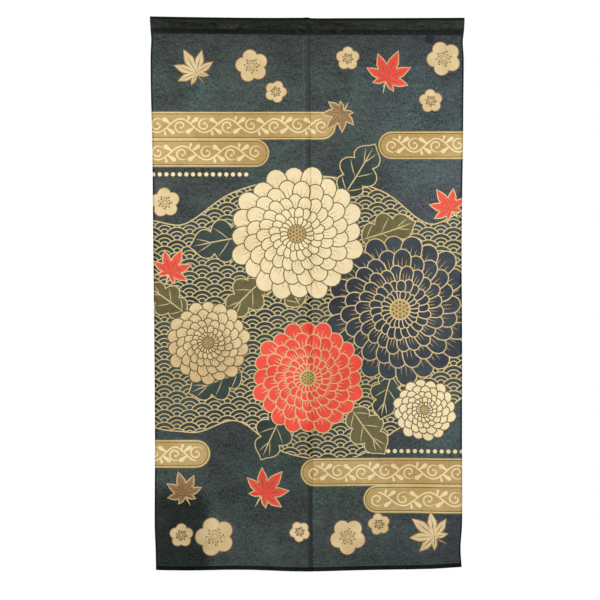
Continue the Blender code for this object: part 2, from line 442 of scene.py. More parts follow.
@dataclass(frozen=True)
class PanelForm:
    """One panel's finished size, and how its flat cut hangs.

    On the flat cut, u runs across from the finished left edge, and w runs up from the heading band's foot.
    Each ease is the length over which the cloth comes free of a hem, of the band or of the foot.
    """

    side: Side
    width: float = 433 * MM
    side_hem: Hem = Hem(5 * MM)
    foot_hem: Hem = Hem(12 * MM)
    sleeve: Sleeve = Sleeve()
    corner_layer: float = 0.95 * MM
    corner_ease: float = 6 * MM
    band_ease: float = 18 * MM
    foot_ease: float = 25 * MM
    relief_ease: float = 30 * MM

    @property
    def length(self) -> float:
        """The finished length below the heading."""
        return FULL_DROP - HEADING_DROP

    @property
    def u_range(self) -> Pair:
        """The cut's ends across, hems opened out."""
        past = self.side_hem.stops[-1] - self.side_hem.layer
        return -past, self.width + past

    @property
    def w_range(self) -> Pair:
        """The cut's ends along, foot hem and heading opened out."""
        return -self.length + self.foot_hem.layer - self.foot_hem.stops[-1], self.sleeve.stops[-1]

    @property
    def cut(self) -> Pair:
        """Width and length of the flat cut."""
        (left, right), (low, high) = self.u_range, self.w_range
        return right - left, high - low

    def edges(self, drop: Array) -> tuple[Array, Array]:
        """Finds the finished edges.

        Args:
            drop: Places below the top.

        Returns:
            The left and the right edge at each.
        """
        if self.side is Side.LEFT:
            return EDGES.read(1, drop), LAP.read(1, drop)
        return LAP.read(2, drop), EDGES.read(2, drop)

    def printed_at(self, u: Array, w: Array) -> Array:
        """Where places of the flat cloth lie on the hung print, seen from the front.

        Args:
            u: Places across the cut.
            w: Places along the cut, at or under the heading's foot.

        Returns:
            Rows of X and Z, in millimetres.
        """
        down = -w / self.length
        left, right = self.edges(HEADING_DROP + down * self.length)
        x = left + (right - left) * u / self.width
        top = HEADING.read(2, x) - SEWN_GAP
        return np.column_stack([x, top + (FOOT.read(1, x) - top) * down]) / MM

    def flat_of(self, points: Array) -> Array:
        """Where points of the hung print lie on the flat cut, the other way round.

        Args:
            points: Rows of X and Z, in millimetres.

        Returns:
            Rows of u and w.
        """
        x, z = points.T * MM
        top = HEADING.read(2, x) - SEWN_GAP
        down = (z - top) / (FOOT.read(1, x) - top)
        left, right = self.edges(HEADING_DROP + down * self.length)
        return np.column_stack([(x - left) / (right - left) * self.width, -down * self.length])

    def hung(self, u: Array, w: Array) -> Array:
        """Hangs places of the flat cloth.

        Args:
            u: Places across the cut.
            w: Places along the cut.

        Returns:
            Rows of X, Y and Z.
        """
        hem, from_right = self.side_hem, u > self.width / 2
        past = hem.layer - np.where(from_right, self.width - u, u)
        inset, tuck, _, _ = hem.turned(past, np.full_like(u, hem.layer))
        share = np.where(from_right, self.width - inset, inset) / self.width
        corner = 1 - ease((inset - hem.depth) / self.corner_ease)
        lap_share = self.lap_share(u)
        side = self.side.value
        panel = self._hung_panel(w, share, tuck, corner)
        heading = self._hung_heading(w, share, tuck, np.maximum(lap_share, corner), side * lap_share)
        return np.where((w > 0)[:, None], heading, panel)

    def lap_share(self, u: Array) -> Array:
        """How much each place across belongs to the lap, from 0 to 1."""
        to_lap = self.width - u if self.side is Side.LEFT else u
        return 1 - ease((to_lap - LAP_HALF) / (LAP_EASE - LAP_HALF))

    def _half_band(self, thick: Array) -> Array:
        """Half the sewn band's thickness, more where laps and hems meet."""
        return (0.75 + 0.65 * thick) * MM

    def _hung_panel(self, w: Array, share: Array, tuck: Array, corner: Array) -> Array:
        """Hangs places at or under the heading's foot.

        Args:
            w: Places along the cut.
            share: Places across the finished panel, from 0 to 1.
            tuck: How far back the side hem's fold brings each place.
            corner: How much each place belongs to a side hem, from 0 to 1.

        Returns:
            Rows of X, Y and Z.
        """
        layer = self.foot_hem.layer + (self.corner_layer - self.foot_hem.layer) * corner
        past = self.foot_hem.layer - (w + self.length)
        up, back, faces_in, faces_back = self.foot_hem.turned(past, layer)
        down = 1 - (up + tuck * faces_in) / self.length
        left, right = self.edges(HEADING_DROP + down * self.length)
        x = left + (right - left) * share
        top = HEADING.read(2, x) - SEWN_GAP
        z = top + (FOOT.read(1, x) - top) * down
        lap = 1 - ease((np.abs(x) - LAP_HALF) / (LAP_EASE - LAP_HALF))
        hanging = self.side.value * LAP_SHIFT * lap
        for fold in FOLDS:
            hanging = hanging + fold.depth(x, -z)
        sewn = self.side.value * LAP_SHIFT / 2 * lap - self._half_band(np.maximum(lap, corner))
        below = ease((top - z) / self.band_ease)
        near_foot = 1 - ease((up - self.foot_hem.depth) / self.foot_ease)
        y = sewn + (hanging - sewn) * below - (layer - self.foot_hem.layer) * near_foot
        y += relief(x, z) * ease((top - z) / self.relief_ease) + pucker(x, np.minimum(w, 0))
        return np.column_stack([x, y + back + tuck * faces_back, z])

    def _hung_heading(self, w: Array, share: Array, tuck: Array, thick: Array, lap: Array) -> Array:
        """Hangs places of the heading.

        Args:
            w: Places along the cut.
            share: Places across the finished panel, from 0 to 1.
            tuck: How far back the side hem's fold brings each place.
            thick: How much the band is thickened there, from 0 to 1.
            lap: The lap's share with the side's sign.

        Returns:
            Rows of X, Y and Z.
        """
        stops = self.sleeve.stops
        height = stops[2]
        rise = np.minimum(np.minimum(w, height), np.maximum(stops[5] - w, 0))
        left, right = self.edges(HEADING_DROP - rise)
        x = left + (right - left) * share
        foot, top, half = HEADING.read(2, x), HEADING.read(1, x), self._half_band(thick)
        y, z = self.sleeve.profile(w, foot, top, half)
        step = 0.2 * MM
        y_next, z_next = self.sleeve.profile(w + step, foot, top, half)
        y_last, z_last = self.sleeve.profile(np.maximum(w - step, 0), foot, top, half)
        run = np.maximum(np.hypot(y_next - y_last, z_next - z_last), TINY)
        inward_y, inward_z = (z_next - z_last) / run, -(y_next - y_last) / run
        push = tuck + lap * LAP_SHIFT / 2 + pucker(x, w) + creased(x, w)
        return np.column_stack([x, y + inward_y * push, z + inward_z * push])


# ---- The print, in millimetres on the hung curtain ----


class Ink(Enum):
    """The printed colours, and the bare cloth's own ones."""

    GROUND = 0
    SLATE = 1
    NIGHT = 2
    GOLD = 3
    STRAW = 4
    CREAM = 5
    TAN = 6
    OLIVE = 7
    BROWN = 8
    RED = 9
    HEM = 10
    LAPPED = 11
    OPEN = 12
    FOOT = 13
    POCKET = 14
    TOP = 15
    BAND = 16
    LABELLED = 17


@dataclass
class Shape:
    """One flat area of ink: a closed outline, its colour, and the area that it stays in."""

    outline: Array
    ink: Ink
    within: Array | None = None


def ring(x: float, z: float, radius: float, step: float = 4.5) -> Array:
    """A round outline, with its points about a step apart."""
    turn = np.linspace(0, math.tau, max(8, int(math.tau * radius / step)), endpoint=False)
    return np.column_stack([x + radius * np.cos(turn), z + radius * np.sin(turn)])


def arc(x: float, z: float, radius: float, start: float, end: float, steps: int) -> Array:
    """Points along a part of a circle."""
    turn = np.linspace(start, end, steps)
    return np.column_stack([x + radius * np.cos(turn), z + radius * np.sin(turn)])


def placed(points: Line, x: float, z: float, turn: float) -> Array:
    """Points turned about the origin and moved to a place."""
    c, s = math.cos(turn), math.sin(turn)
    return np.asarray(points, float) @ np.array([[c, s], [-s, c]]) + (x, z)


def unit(vectors: Array) -> Array:
    """Directions of the vectors, each one long."""
    return vectors / np.maximum(np.linalg.norm(vectors, axis=1, keepdims=True), TINY)


def grown(outline: Array, by: float) -> Array:
    """Moves an outline outwards.

    Args:
        outline: The closed outline.
        by: How far; less than nought moves it inwards.

    Returns:
        The moved outline.
    """
    before, after = np.roll(outline, 1, 0), np.roll(outline, -1, 0)
    area = np.sum(outline[:, 0] * after[:, 1] - after[:, 0] * outline[:, 1])
    one, other = unit(outline - before), unit(after - outline)
    out = np.column_stack([one[:, 1] + other[:, 1], -one[:, 0] - other[:, 0]])
    out /= np.maximum(np.sum(out * out, axis=1, keepdims=True) / 2, 0.6)
    return outline + out * by * math.copysign(1, area)


def brushed(path: Line, width: float, ends: float = 0.2) -> Array:
    """The outline of a brush stroke.

    Args:
        path: Points along the stroke.
        width: Its width in the middle.
        ends: Share of its length over which each end thins out.

    Returns:
        The closed outline.
    """
    middle = np.asarray(path, float)
    along = unit(np.gradient(middle, axis=0))
    side = np.column_stack([-along[:, 1], along[:, 0]])
    t = np.linspace(0, 1, len(middle))
    press = np.clip(np.minimum(t, 1 - t) / ends, 0.15, 1) if ends else np.ones(len(middle))
    reach = side * (width / 2 * press)[:, None]
    return np.vstack([middle + reach, (middle - reach)[::-1]])


def smooth(points: Line, steps: int, closed: bool = False) -> Array:
    """A smooth line through a few points.

    Args:
        points: The points.
        steps: Points made between each two.
        closed: Whether the line joins its start.

    Returns:
        The line's points.
    """
    p = np.asarray(points, float)
    p = np.vstack([p[-1], p, p[:2]] if closed else [2 * p[0] - p[1], p, 2 * p[-1] - p[-2]])
    t = np.linspace(0, 1, steps, endpoint=False)[:, None]
    made = []
    for a, b, c, d in zip(p, p[1:], p[2:], p[3:]):
        bend = (2 * a - 5 * b + 4 * c - d) * t**2 + (3 * b - a - 3 * c + d) * t**3
        made.append(0.5 * (2 * b + (c - a) * t + bend))
    return np.vstack(made if closed else [*made, p[-2]])


# Shares of a petal's half width, and of the way from its root to where its round tip starts.
PETAL_SIDE = ((0.28, 0.0), (0.62, 0.45), (0.96, 0.84))


def petal(inner: float, outer: float, width: float) -> Array:
    """A petal that points up from the origin, narrow at its root and round at its tip.

    Args:
        inner: Where its root lies.
        outer: Where its tip ends.
        width: Its width near the tip.

    Returns:
        The closed outline.
    """
    half = width / 2
    tip = outer - half * 1.1
    run = [(-half * wide, inner + (tip - inner) * up) for wide, up in PETAL_SIDE]
    turn = np.linspace(math.pi, 0, 8)
    cap = np.column_stack([half * np.cos(turn), tip + half * 1.1 * np.sin(turn)])
    return np.vstack([run, cap, [(-x, z) for x, z in reversed(run)]])


@dataclass(frozen=True)
class Motif:
    """A figure that is printed at a place of the curtain."""

    x: float
    z: float

    def laid(self, outline: Array, turn: float, ink: Ink) -> Shape:
        """An area of ink, turned and moved to the figure's place."""
        return Shape(placed(outline, self.x, self.z, turn), ink)


@dataclass(frozen=True)
class Kiku(Motif):
    """A chrysanthemum: rings of petals that lap inwards, round a seeded heart."""

    radius: float
    petals: int
    fill: Ink
    line: Ink
    vein: Ink
    turn: float = 0.0
    rings: tuple[float, ...] = (1.0, 0.79, 0.59, 0.41, 0.26)
    heart: float = 0.13
    seeds: tuple[tuple[float, int], ...] = ((0.0, 1), (0.42, 6), (0.78, 12))
    rim: float = 1.4

    def shapes(self) -> list[Shape]:
        """Draws the flower, from its outer ring in.

        Returns:
            Its areas of ink.
        """
        made = []
        for number, share in enumerate(self.rings):
            for i in range(self.petals):
                made += self._petal(number, self.radius * share, i)
        heart = self.radius * self.heart
        made.append(Shape(ring(self.x, self.z, heart + 2.5), self.line))
        made.append(Shape(ring(self.x, self.z, heart), Ink.GOLD))
        for share, many in self.seeds:
            for i in range(many):
                seed = placed([(0, heart * share)], self.x, self.z, math.tau * i / many)[0]
                made.append(Shape(ring(*seed, heart * 0.12, 2.5), Ink.OLIVE))
        return made

    def _petal(self, number: int, reach: float, i: int) -> list[Shape]:
        """Draws one petal, with its veins where they show.

        Args:
            number: Which ring it is in; the outer one is 0.
            reach: How far the ring reaches from the heart.
            i: Which petal of the ring it is.

        Returns:
            Its areas of ink.
        """
        width = math.tau * reach * 0.9 / self.petals * (1.12 if number == 0 else 1.18)
        turn = self.turn + math.tau * (i + 0.5 * (number % 2)) / self.petals
        long = reach * (1 + 0.04 * math.sin(2.4 * i + 1.3 * number))
        blade = petal(self.radius * 0.06, long, width)
        made = [
            self.laid(grown(blade, self.rim), turn, self.line),
            self.laid(grown(blade, -self.rim), turn, self.fill),
        ]
        if number < 3:
            low = self.rings[number + 1] * self.radius * 0.9
            high = long - width * 0.45
            for side in (-0.22, 0.0, 0.22):
                tip = (side * width * 1.1, high - abs(side) * width * 0.5)
                path = [(side * width * 0.7, low), (side * width, (low + high) / 2), tip]
                made.append(self.laid(brushed(path, 1.9, 0.3), turn, self.vein))
        return made


@dataclass(frozen=True)
class Waves:
    """Rows of lapped wave scallops inside a flowing area."""

    edge: tuple[Pair, ...]
    radius: float
    fill: Ink
    line: Ink

    def shapes(self) -> list[Shape]:
        """Draws the area's outline, and its scallops from the top down.

        Returns:
            Its areas of ink.
        """
        area = smooth(self.edge, 9, closed=True)
        made = [Shape(grown(area, 3.2), self.line), Shape(area, self.fill)]
        (left, low), (right, high) = area.min(0), area.max(0)
        for row in range(int((high - low) / (self.radius / 2)) + 4):
            z = high - (row + 1) * self.radius / 2
            first = left - self.radius * (1 + row % 2)
            for x in np.arange(first, right + self.radius, 2 * self.radius):
                for share in (1.0, 0.66, 0.36):
                    made.append(Shape(ring(x, z, self.radius * share), self.line, area))
                    made.append(Shape(ring(x, z, self.radius * share - 2.6), self.fill, area))
        return made


@dataclass(frozen=True)
class Mist:
    """Banks of golden mist: long bars with round ends, each with a running vine."""

    bars: tuple[Triple, ...]
    thick: float = 74.0

    def shapes(self) -> list[Shape]:
        """Draws the bars as one bank, then their vines.

        Returns:
            Their areas of ink.
        """
        quarter = math.pi / 2
        outlines = [
            np.vstack([
                arc(right, z, self.thick / 2, quarter, -quarter, 16),
                arc(left, z, self.thick / 2, -quarter, -3 * quarter, 16),
            ])
            for left, right, z in self.bars
        ]
        layers = ((3.0, Ink.OLIVE), (0.0, Ink.STRAW), (-4.0, Ink.OLIVE), (-6.2, Ink.GOLD))
        made = [Shape(grown(outline, by), ink) for by, ink in layers for outline in outlines]
        for outline, (left, right, z) in zip(outlines, self.bars):
            made += self._vine(left, right, z, grown(outline, -6.2))
        return made

    def _vine(self, left: float, right: float, z: float, within: Array) -> list[Shape]:
        """Draws a stem that swings from side to side, with a curl and leaves in each bend.

        Args:
            left: The bar's left end.
            right: Its right end.
            z: Its height.
            within: The area that the vine stays in.

        Returns:
            The vine's areas of ink.
        """
        reach = self.thick * 0.25
        bends = max(1, round((right - left) / (self.thick * 0.86)))
        pitch = (right - left) / bends
        xs = np.linspace(left, right, bends * 10 + 1)
        stem = np.column_stack([xs, z + reach * np.cos((xs - left) / pitch * math.pi)])
        outlines = [brushed(stem, 4.0, 0.02)]
        t = np.linspace(0, 1, 14)
        radius = reach * (1.12 - 0.86 * t)
        turn = math.pi * (0.15 + 2.3 * t)
        for i in range(bends + 1):
            way = 1 if i % 2 == 0 else -1
            x = left + pitch * i
            curl_z = z - way * reach * 0.08 - way * radius * np.sin(turn) * 0.95
            curl = np.column_stack([x + radius * np.cos(turn), curl_z])
            outlines += [brushed(curl, 4.2, 0.25), ring(*curl[-1], 3.2, 2.5)]
            for lean, out, size in ((0.95, 0.40, 0.36), (-0.95, -0.42, 0.36), (0.25, 0.30, 0.22)):
                root = x + pitch * out
                if left < root < right:
                    leaf = petal(0, self.thick * size, self.thick * size * 0.42)
                    base = z + way * reach * math.cos(math.pi * out)
                    outlines.append(placed(leaf, root, base, -lean if way > 0 else math.pi + lean))
        return [Shape(outline, Ink.CREAM, within) for outline in outlines]


@dataclass(frozen=True)
class Beads:
    """Round beads in a row."""

    left: float
    right: float
    z: float
    radius: float = 5.6
    pitch: float = 18.0

    def shapes(self) -> list[Shape]:
        """Draws each bead, with its dark rim under it.

        Returns:
            Their areas of ink.
        """
        made = []
        for x in np.arange(self.left, self.right, self.pitch):
            made.append(Shape(ring(x, self.z, self.radius + 1.6, 3.5), Ink.OLIVE))
            made.append(Shape(ring(x, self.z, self.radius, 3.5), Ink.CREAM))
        return made


@dataclass(frozen=True)
class MapleLeaf(Motif):
    """A maple leaf with seven pointed lobes, each given by its direction and its length, and a stem."""

    size: float
    turn: float
    fill: Ink
    lobes: tuple[Pair, ...] = (
        (-128, 0.50), (-84, 0.80), (-42, 0.95), (0, 1.08), (42, 0.95), (84, 0.80), (128, 0.50),
    )

    def outline(self) -> Array:
        """Draws the leaf's edge, with its stem's root at the origin.

        Returns:
            The closed outline.
        """
        points = [(-0.03, -0.10)]
        last = None
        for degrees, long in self.lobes:
            if last is not None:
                between = math.radians((last + degrees) / 2)
                points.append((math.sin(between) * 0.30, math.cos(between) * 0.30))
            last = degrees
            half = 0.155 * long
            rows = ((-half, 0.45), (-half * 1.02, 0.62), (-half * 0.55, 0.80), (0, 1.0))
            lobe = [*rows, *((-a, b) for a, b in reversed(rows[:3]))]
            turned = placed([(a, b * long) for a, b in lobe], 0, 0, -math.radians(degrees))
            points += [tuple(point) for point in turned]
        return np.array([*points, (0.03, -0.10)]) * self.size

    def shapes(self) -> list[Shape]:
        """Draws the leaf with its veins.

        Returns:
            Its areas of ink.
        """
        line = Ink.BROWN if self.fill is Ink.TAN else Ink.STRAW
        leaf = self.outline()
        stem = np.array([(0, 0.0), (0.02, -0.25), (0.09, -0.55)]) * self.size
        made = [
            self.laid(brushed(stem, 5.0, 0.05), self.turn, line),
            self.laid(grown(leaf, LEAF_RIM), self.turn, line),
            self.laid(leaf, self.turn, self.fill),
        ]
        for degrees, long in self.lobes:
            path = [(0, 0), (0, 0.42 * long * self.size), (0, 0.84 * long * self.size)]
            made.append(self.laid(brushed(path, 2.2, 0.25), self.turn - math.radians(degrees), Ink.OLIVE))
        return made


@dataclass(frozen=True)
class PlumBlossom(Motif):
    """A plum blossom: five round petals and its stamens."""

    size: float
    turn: float

    def shapes(self) -> list[Shape]:
        """Draws the blossom.

        Returns:
            Its areas of ink.
        """
        fifths = [self.turn + math.tau * i / 5 for i in range(5)]
        centres = [placed([(0, self.size * 0.58)], self.x, self.z, turn)[0] for turn in fifths]
        made = [Shape(ring(*centre, self.size * 0.45 + 2.2), Ink.BROWN) for centre in centres]
        made += [Shape(ring(*centre, self.size * 0.45), Ink.TAN) for centre in centres]
        made.append(Shape(ring(self.x, self.z, self.size * 0.42), Ink.TAN))
        for turn in fifths:
            path = np.array([(0, 0.22), (0, 0.40), (0, 0.62)]) * self.size
            made.append(self.laid(brushed(path, 2.0, 0.3), turn + math.tau / 10, Ink.BROWN))
        for i in range(15):
            turn = self.turn + math.tau * i / 15
            long = self.size * (0.46 if i % 2 else 0.34)
            path = [(0, 0), (0, long / 2), (0, long)]
            made.append(self.laid(brushed(path, 1.5, 0), turn, Ink.BROWN))
            made.append(self.laid(ring(0, long, 2.2, 2.0), turn, Ink.OLIVE))
        made.append(Shape(ring(self.x, self.z, self.size * 0.12, 3), Ink.STRAW))
        return made


@dataclass(frozen=True)
class LobedLeaf(Motif):
    """A broad leaf with rounded lobes along both sides."""

    size: float
    turn: float
    fill: Ink
    lobes: int = 3

    def shapes(self) -> list[Shape]:
        """Draws the leaf with its veins.

        Returns:
            Its areas of ink.
        """
        t = np.linspace(0.0, 1.0, 34)
        swell = np.sin(math.pi * t**0.85) ** 0.7
        turns = math.tau * self.lobes * (t - 0.13)
        half = 0.30 * swell * (0.87 + 0.25 * np.cos(turns))
        up = t + 0.045 * np.sin(turns) * swell
        right = np.column_stack([half, up])[-2:0:-1]
        leaf = np.vstack([np.column_stack([-half, up]), right]) * self.size
        rib = np.array([(0, 0.0), (0.012, 0.45), (0, 0.93)]) * self.size
        made = [
            self.laid(grown(leaf, LEAF_RIM), self.turn, Ink.STRAW),
            self.laid(leaf, self.turn, self.fill),
            self.laid(brushed(smooth(rib, 5), 3.2, 0.15), self.turn, Ink.STRAW),
        ]
        for i in range(self.lobes):
            root = 0.08 + 0.84 * i / self.lobes
            tip = 0.21 + 0.92 * (i + 0.2) / self.lobes
            wide = 0.24 * math.sin(math.pi * min(tip, 0.95) ** 0.85) ** 0.7
            for side in (-1, 1):
                bend = (side * wide * 0.5, (root + tip) / 2 - 0.01)
                path = np.array([(0, root), bend, (side * wide, tip)]) * self.size
                made.append(self.laid(brushed(smooth(path, 3), 2.2, 0.3), self.turn, Ink.STRAW))
        return made


def inside(outline: Array, x: Array, z: Array) -> Array:
    """Tells which points lie in an outline.

    Args:
        outline: The closed outline.
        x: The points' places across.
        z: Their heights.

    Returns:
        True or False for each point.
    """
    few = 20000
    if len(x) > few:
        parts = range(0, len(x), few)
        return np.concatenate([inside(outline, x[i:i + few], z[i:i + few]) for i in parts])
    (ax, az), (bx, bz) = outline.T, np.roll(outline, -1, 0).T
    rise = np.where(bz == az, TINY, bz - az)
    crosses = (az[:, None] > z) != (bz[:, None] > z)
    reach = ax[:, None] + (z - az[:, None]) * ((bx - ax) / rise)[:, None]
    return np.count_nonzero(crosses & (x < reach), axis=0) % 2 == 1


def divided(outline: Array, step: float) -> Array:
    """Adds points to a closed outline.

    Args:
        outline: The outline.
        step: The furthest that two neighbouring points may be apart.

    Returns:
        The outline with more points.
    """
    parts = []
    for start, end in zip(outline, np.roll(outline, -1, 0)):
        many = max(1, math.ceil(math.hypot(*(end - start)) / step))
        parts.append(start + (end - start) * (np.arange(many) / many)[:, None])
    return np.vstack(parts)


@dataclass
class Artwork:
    """The whole print, from what lies lowest to what lies on top.

    Its borders are looked for a step apart, by the inks a little beside them.
    """

    shapes: list[Shape] = field(default_factory=list)
    step: float = 6.0
    beside: float = 0.05

    def inks(self, points: Array) -> Array:
        """Reads the ink on top.

        Args:
            points: Rows of X and Z.

        Returns:
            The number of the ink at each point.
        """
        order = np.argsort(points[:, 0], kind="stable")
        x, z = points[order].T
        found = np.zeros(len(x), int)
        kept_in = {}
        for shape in self.shapes:
            (left, low), (right, high) = shape.outline.min(0), shape.outline.max(0)
            first, last = np.searchsorted(x, (left, right))
            rows = first + np.flatnonzero((z[first:last] > low) & (z[first:last] < high))
            rows = rows[inside(shape.outline, x[rows], z[rows])]
            if shape.within is not None:
                key = id(shape.within)
                if key not in kept_in:
                    kept_in[key] = inside(shape.within, x, z)
                rows = rows[kept_in[key][rows]]
            found[rows] = shape.ink.value
        inks = np.empty_like(found)
        inks[order] = found
        return inks

    def borders(self) -> tuple[Array, Array]:
        """Finds where two inks meet.

        Returns:
            The starts and the ends of short lines of the outlines that show, and their neighbours.
        """
        areas = {id(shape.within): shape.within for shape in self.shapes if shape.within is not None}
        outlines = [divided(shape.outline, self.step) for shape in self.shapes]
        outlines += [divided(area, self.step) for area in areas.values()]
        starts = np.vstack(outlines)
        ends = np.vstack([np.roll(outline, -1, 0) for outline in outlines])
        along = unit(ends - starts)
        side = np.column_stack([-along[:, 1], along[:, 0]]) * self.beside
        middle = (starts + ends) / 2
        shows = self.inks(middle + side) != self.inks(middle - side)
        first = 0
        kept = []
        for outline in outlines:
            own = shows[first:first + len(outline)]
            kept.append(own | np.roll(own, 1) | np.roll(own, -1))
            first += len(outline)
        kept = np.concatenate(kept)
        return starts[kept], ends[kept]


def draw_artwork() -> Artwork:
    """Lays out the print: kiku over waves, banks of mist, and scattered leaves and plum blossom.

    Returns:
        The whole print.
    """
    wave_edge = (
        (-470, -590), (-330, -560), (-190, -470), (20, -430), (200, -470), (330, -560), (470, -540),
        (480, -930), (400, -1040), (250, -1110), (120, -1190), (-60, -1175), (-190, -1090), (-320, -1120),
        (-470, -1040),
    )
    motifs = [
        Waves(wave_edge, 34, Ink.SLATE, Ink.STRAW),
        Mist(((-470, 40, -292), (-470, -140, -366))),
        Beads(-417, -150, -424),
        Mist(((230, 470, -345),)),
        Mist(((20, 470, -1230), (190, 470, -1304))),
        Beads(166, 430, -1174),
        Mist(((-470, -300, -1180),)),
        LobedLeaf(-150, -590, 170, 1.75, Ink.SLATE),
        LobedLeaf(-110, -700, 150, 2.35, Ink.OLIVE),
        LobedLeaf(100, -480, 160, -0.55, Ink.SLATE),
        LobedLeaf(150, -600, 150, -1.25, Ink.OLIVE),
        LobedLeaf(-180, -960, 150, 1.95, Ink.SLATE),
        LobedLeaf(-330, -800, 130, 0.95, Ink.OLIVE),
        LobedLeaf(-60, -1060, 150, 2.7, Ink.SLATE),
        LobedLeaf(120, -1060, 150, -2.5, Ink.OLIVE),
        LobedLeaf(230, -960, 130, 2.9, Ink.SLATE),
        LobedLeaf(-20, -780, 130, 0.5, Ink.OLIVE),
        Kiku(-268, -880, 112, 18, Ink.TAN, Ink.OLIVE, Ink.BROWN),
        Kiku(252, -790, 200, 22, Ink.NIGHT, Ink.STRAW, Ink.GOLD, turn=0.1),
        Kiku(-28, -585, 180, 20, Ink.CREAM, Ink.OLIVE, Ink.GOLD, turn=0.05),
        Kiku(2, -975, 150, 20, Ink.RED, Ink.STRAW, Ink.TAN),
        Kiku(318, -1062, 84, 16, Ink.CREAM, Ink.OLIVE, Ink.GOLD, turn=0.15),
        MapleLeaf(-300, -150, 66, 0.5, Ink.TAN),
        MapleLeaf(215, -165, 74, -0.4, Ink.RED),
        MapleLeaf(95, -255, 56, 2.4, Ink.BROWN),
        MapleLeaf(345, -1405, 70, 0.9, Ink.TAN),
        MapleLeaf(-120, -1290, 74, -0.7, Ink.RED),
        MapleLeaf(-330, -1290, 58, 0.3, Ink.BROWN),
        MapleLeaf(-372, -690, 64, -0.5, Ink.RED),
        MapleLeaf(388, -520, 60, 0.6, Ink.RED),
    ]
    blossoms = (
        (-150, -130, 42, 0.2), (-85, -200, 28, 0.9), (370, -110, 44, 0.4), (335, -225, 30, 0.1),
        (110, -110, 30, 0.0), (-250, -1405, 50, 0.3), (-340, -1400, 30, 0.0), (110, -1405, 46, 0.6),
        (195, -1372, 28, 0.2), (-385, -500, 38, 0.1), (-20, -1390, 26, 0.5),
    )
    motifs += [PlumBlossom(*blossom) for blossom in blossoms]
    return Artwork([shape for motif in motifs for shape in motif.shapes()])


# ---- Finishes ----


@dataclass(frozen=True)
class Signal:
    """A node's output that is used in sums, written as Python expressions."""

    tree: bpy.types.NodeTree
    socket: bpy.types.NodeSocket

    def maths(self, operation: str, *terms: Signal | float) -> Signal:
        """Adds a Math node.

        Args:
            operation: What the node does.
            *terms: The values or links that it takes.

        Returns:
            Its result.
        """
        node = self.tree.nodes.new("ShaderNodeMath")
        node.operation = operation
        for socket, term in zip(node.inputs, terms):
            plug(self.tree, socket, term)
        return Signal(self.tree, node.outputs[0])

    def __add__(self, other: Signal | float) -> Signal:
        """The sum."""
        return self.maths("ADD", self, other)

    def __radd__(self, other: Signal | float) -> Signal:
        """The sum, with the number first."""
        return self.maths("ADD", other, self)

    def __sub__(self, other: Signal | float) -> Signal:
        """The difference."""
        return self.maths("SUBTRACT", self, other)

    def __rsub__(self, other: Signal | float) -> Signal:
        """The difference, with the number first."""
        return self.maths("SUBTRACT", other, self)

    def __mul__(self, other: Signal | float) -> Signal:
        """The product."""
        return self.maths("MULTIPLY", self, other)

    def __rmul__(self, other: Signal | float) -> Signal:
        """The product, with the number first."""
        return self.maths("MULTIPLY", other, self)

    def sine(self) -> Signal:
        """The sine."""
        return self.maths("SINE", self)


def plug(tree: bpy.types.NodeTree, socket: bpy.types.NodeSocket, value: object) -> None:
    """Links a socket to a signal, or sets its value.

    Args:
        tree: The material's nodes.
        socket: The socket to set.
        value: A signal, a number, a colour or a vector.
    """
    if isinstance(value, Signal):
        tree.links.new(value.socket, socket)
    elif isinstance(value, tuple) and socket.type == "RGBA":
        socket.default_value = (*value[:3], 1.0)
    else:
        socket.default_value = value


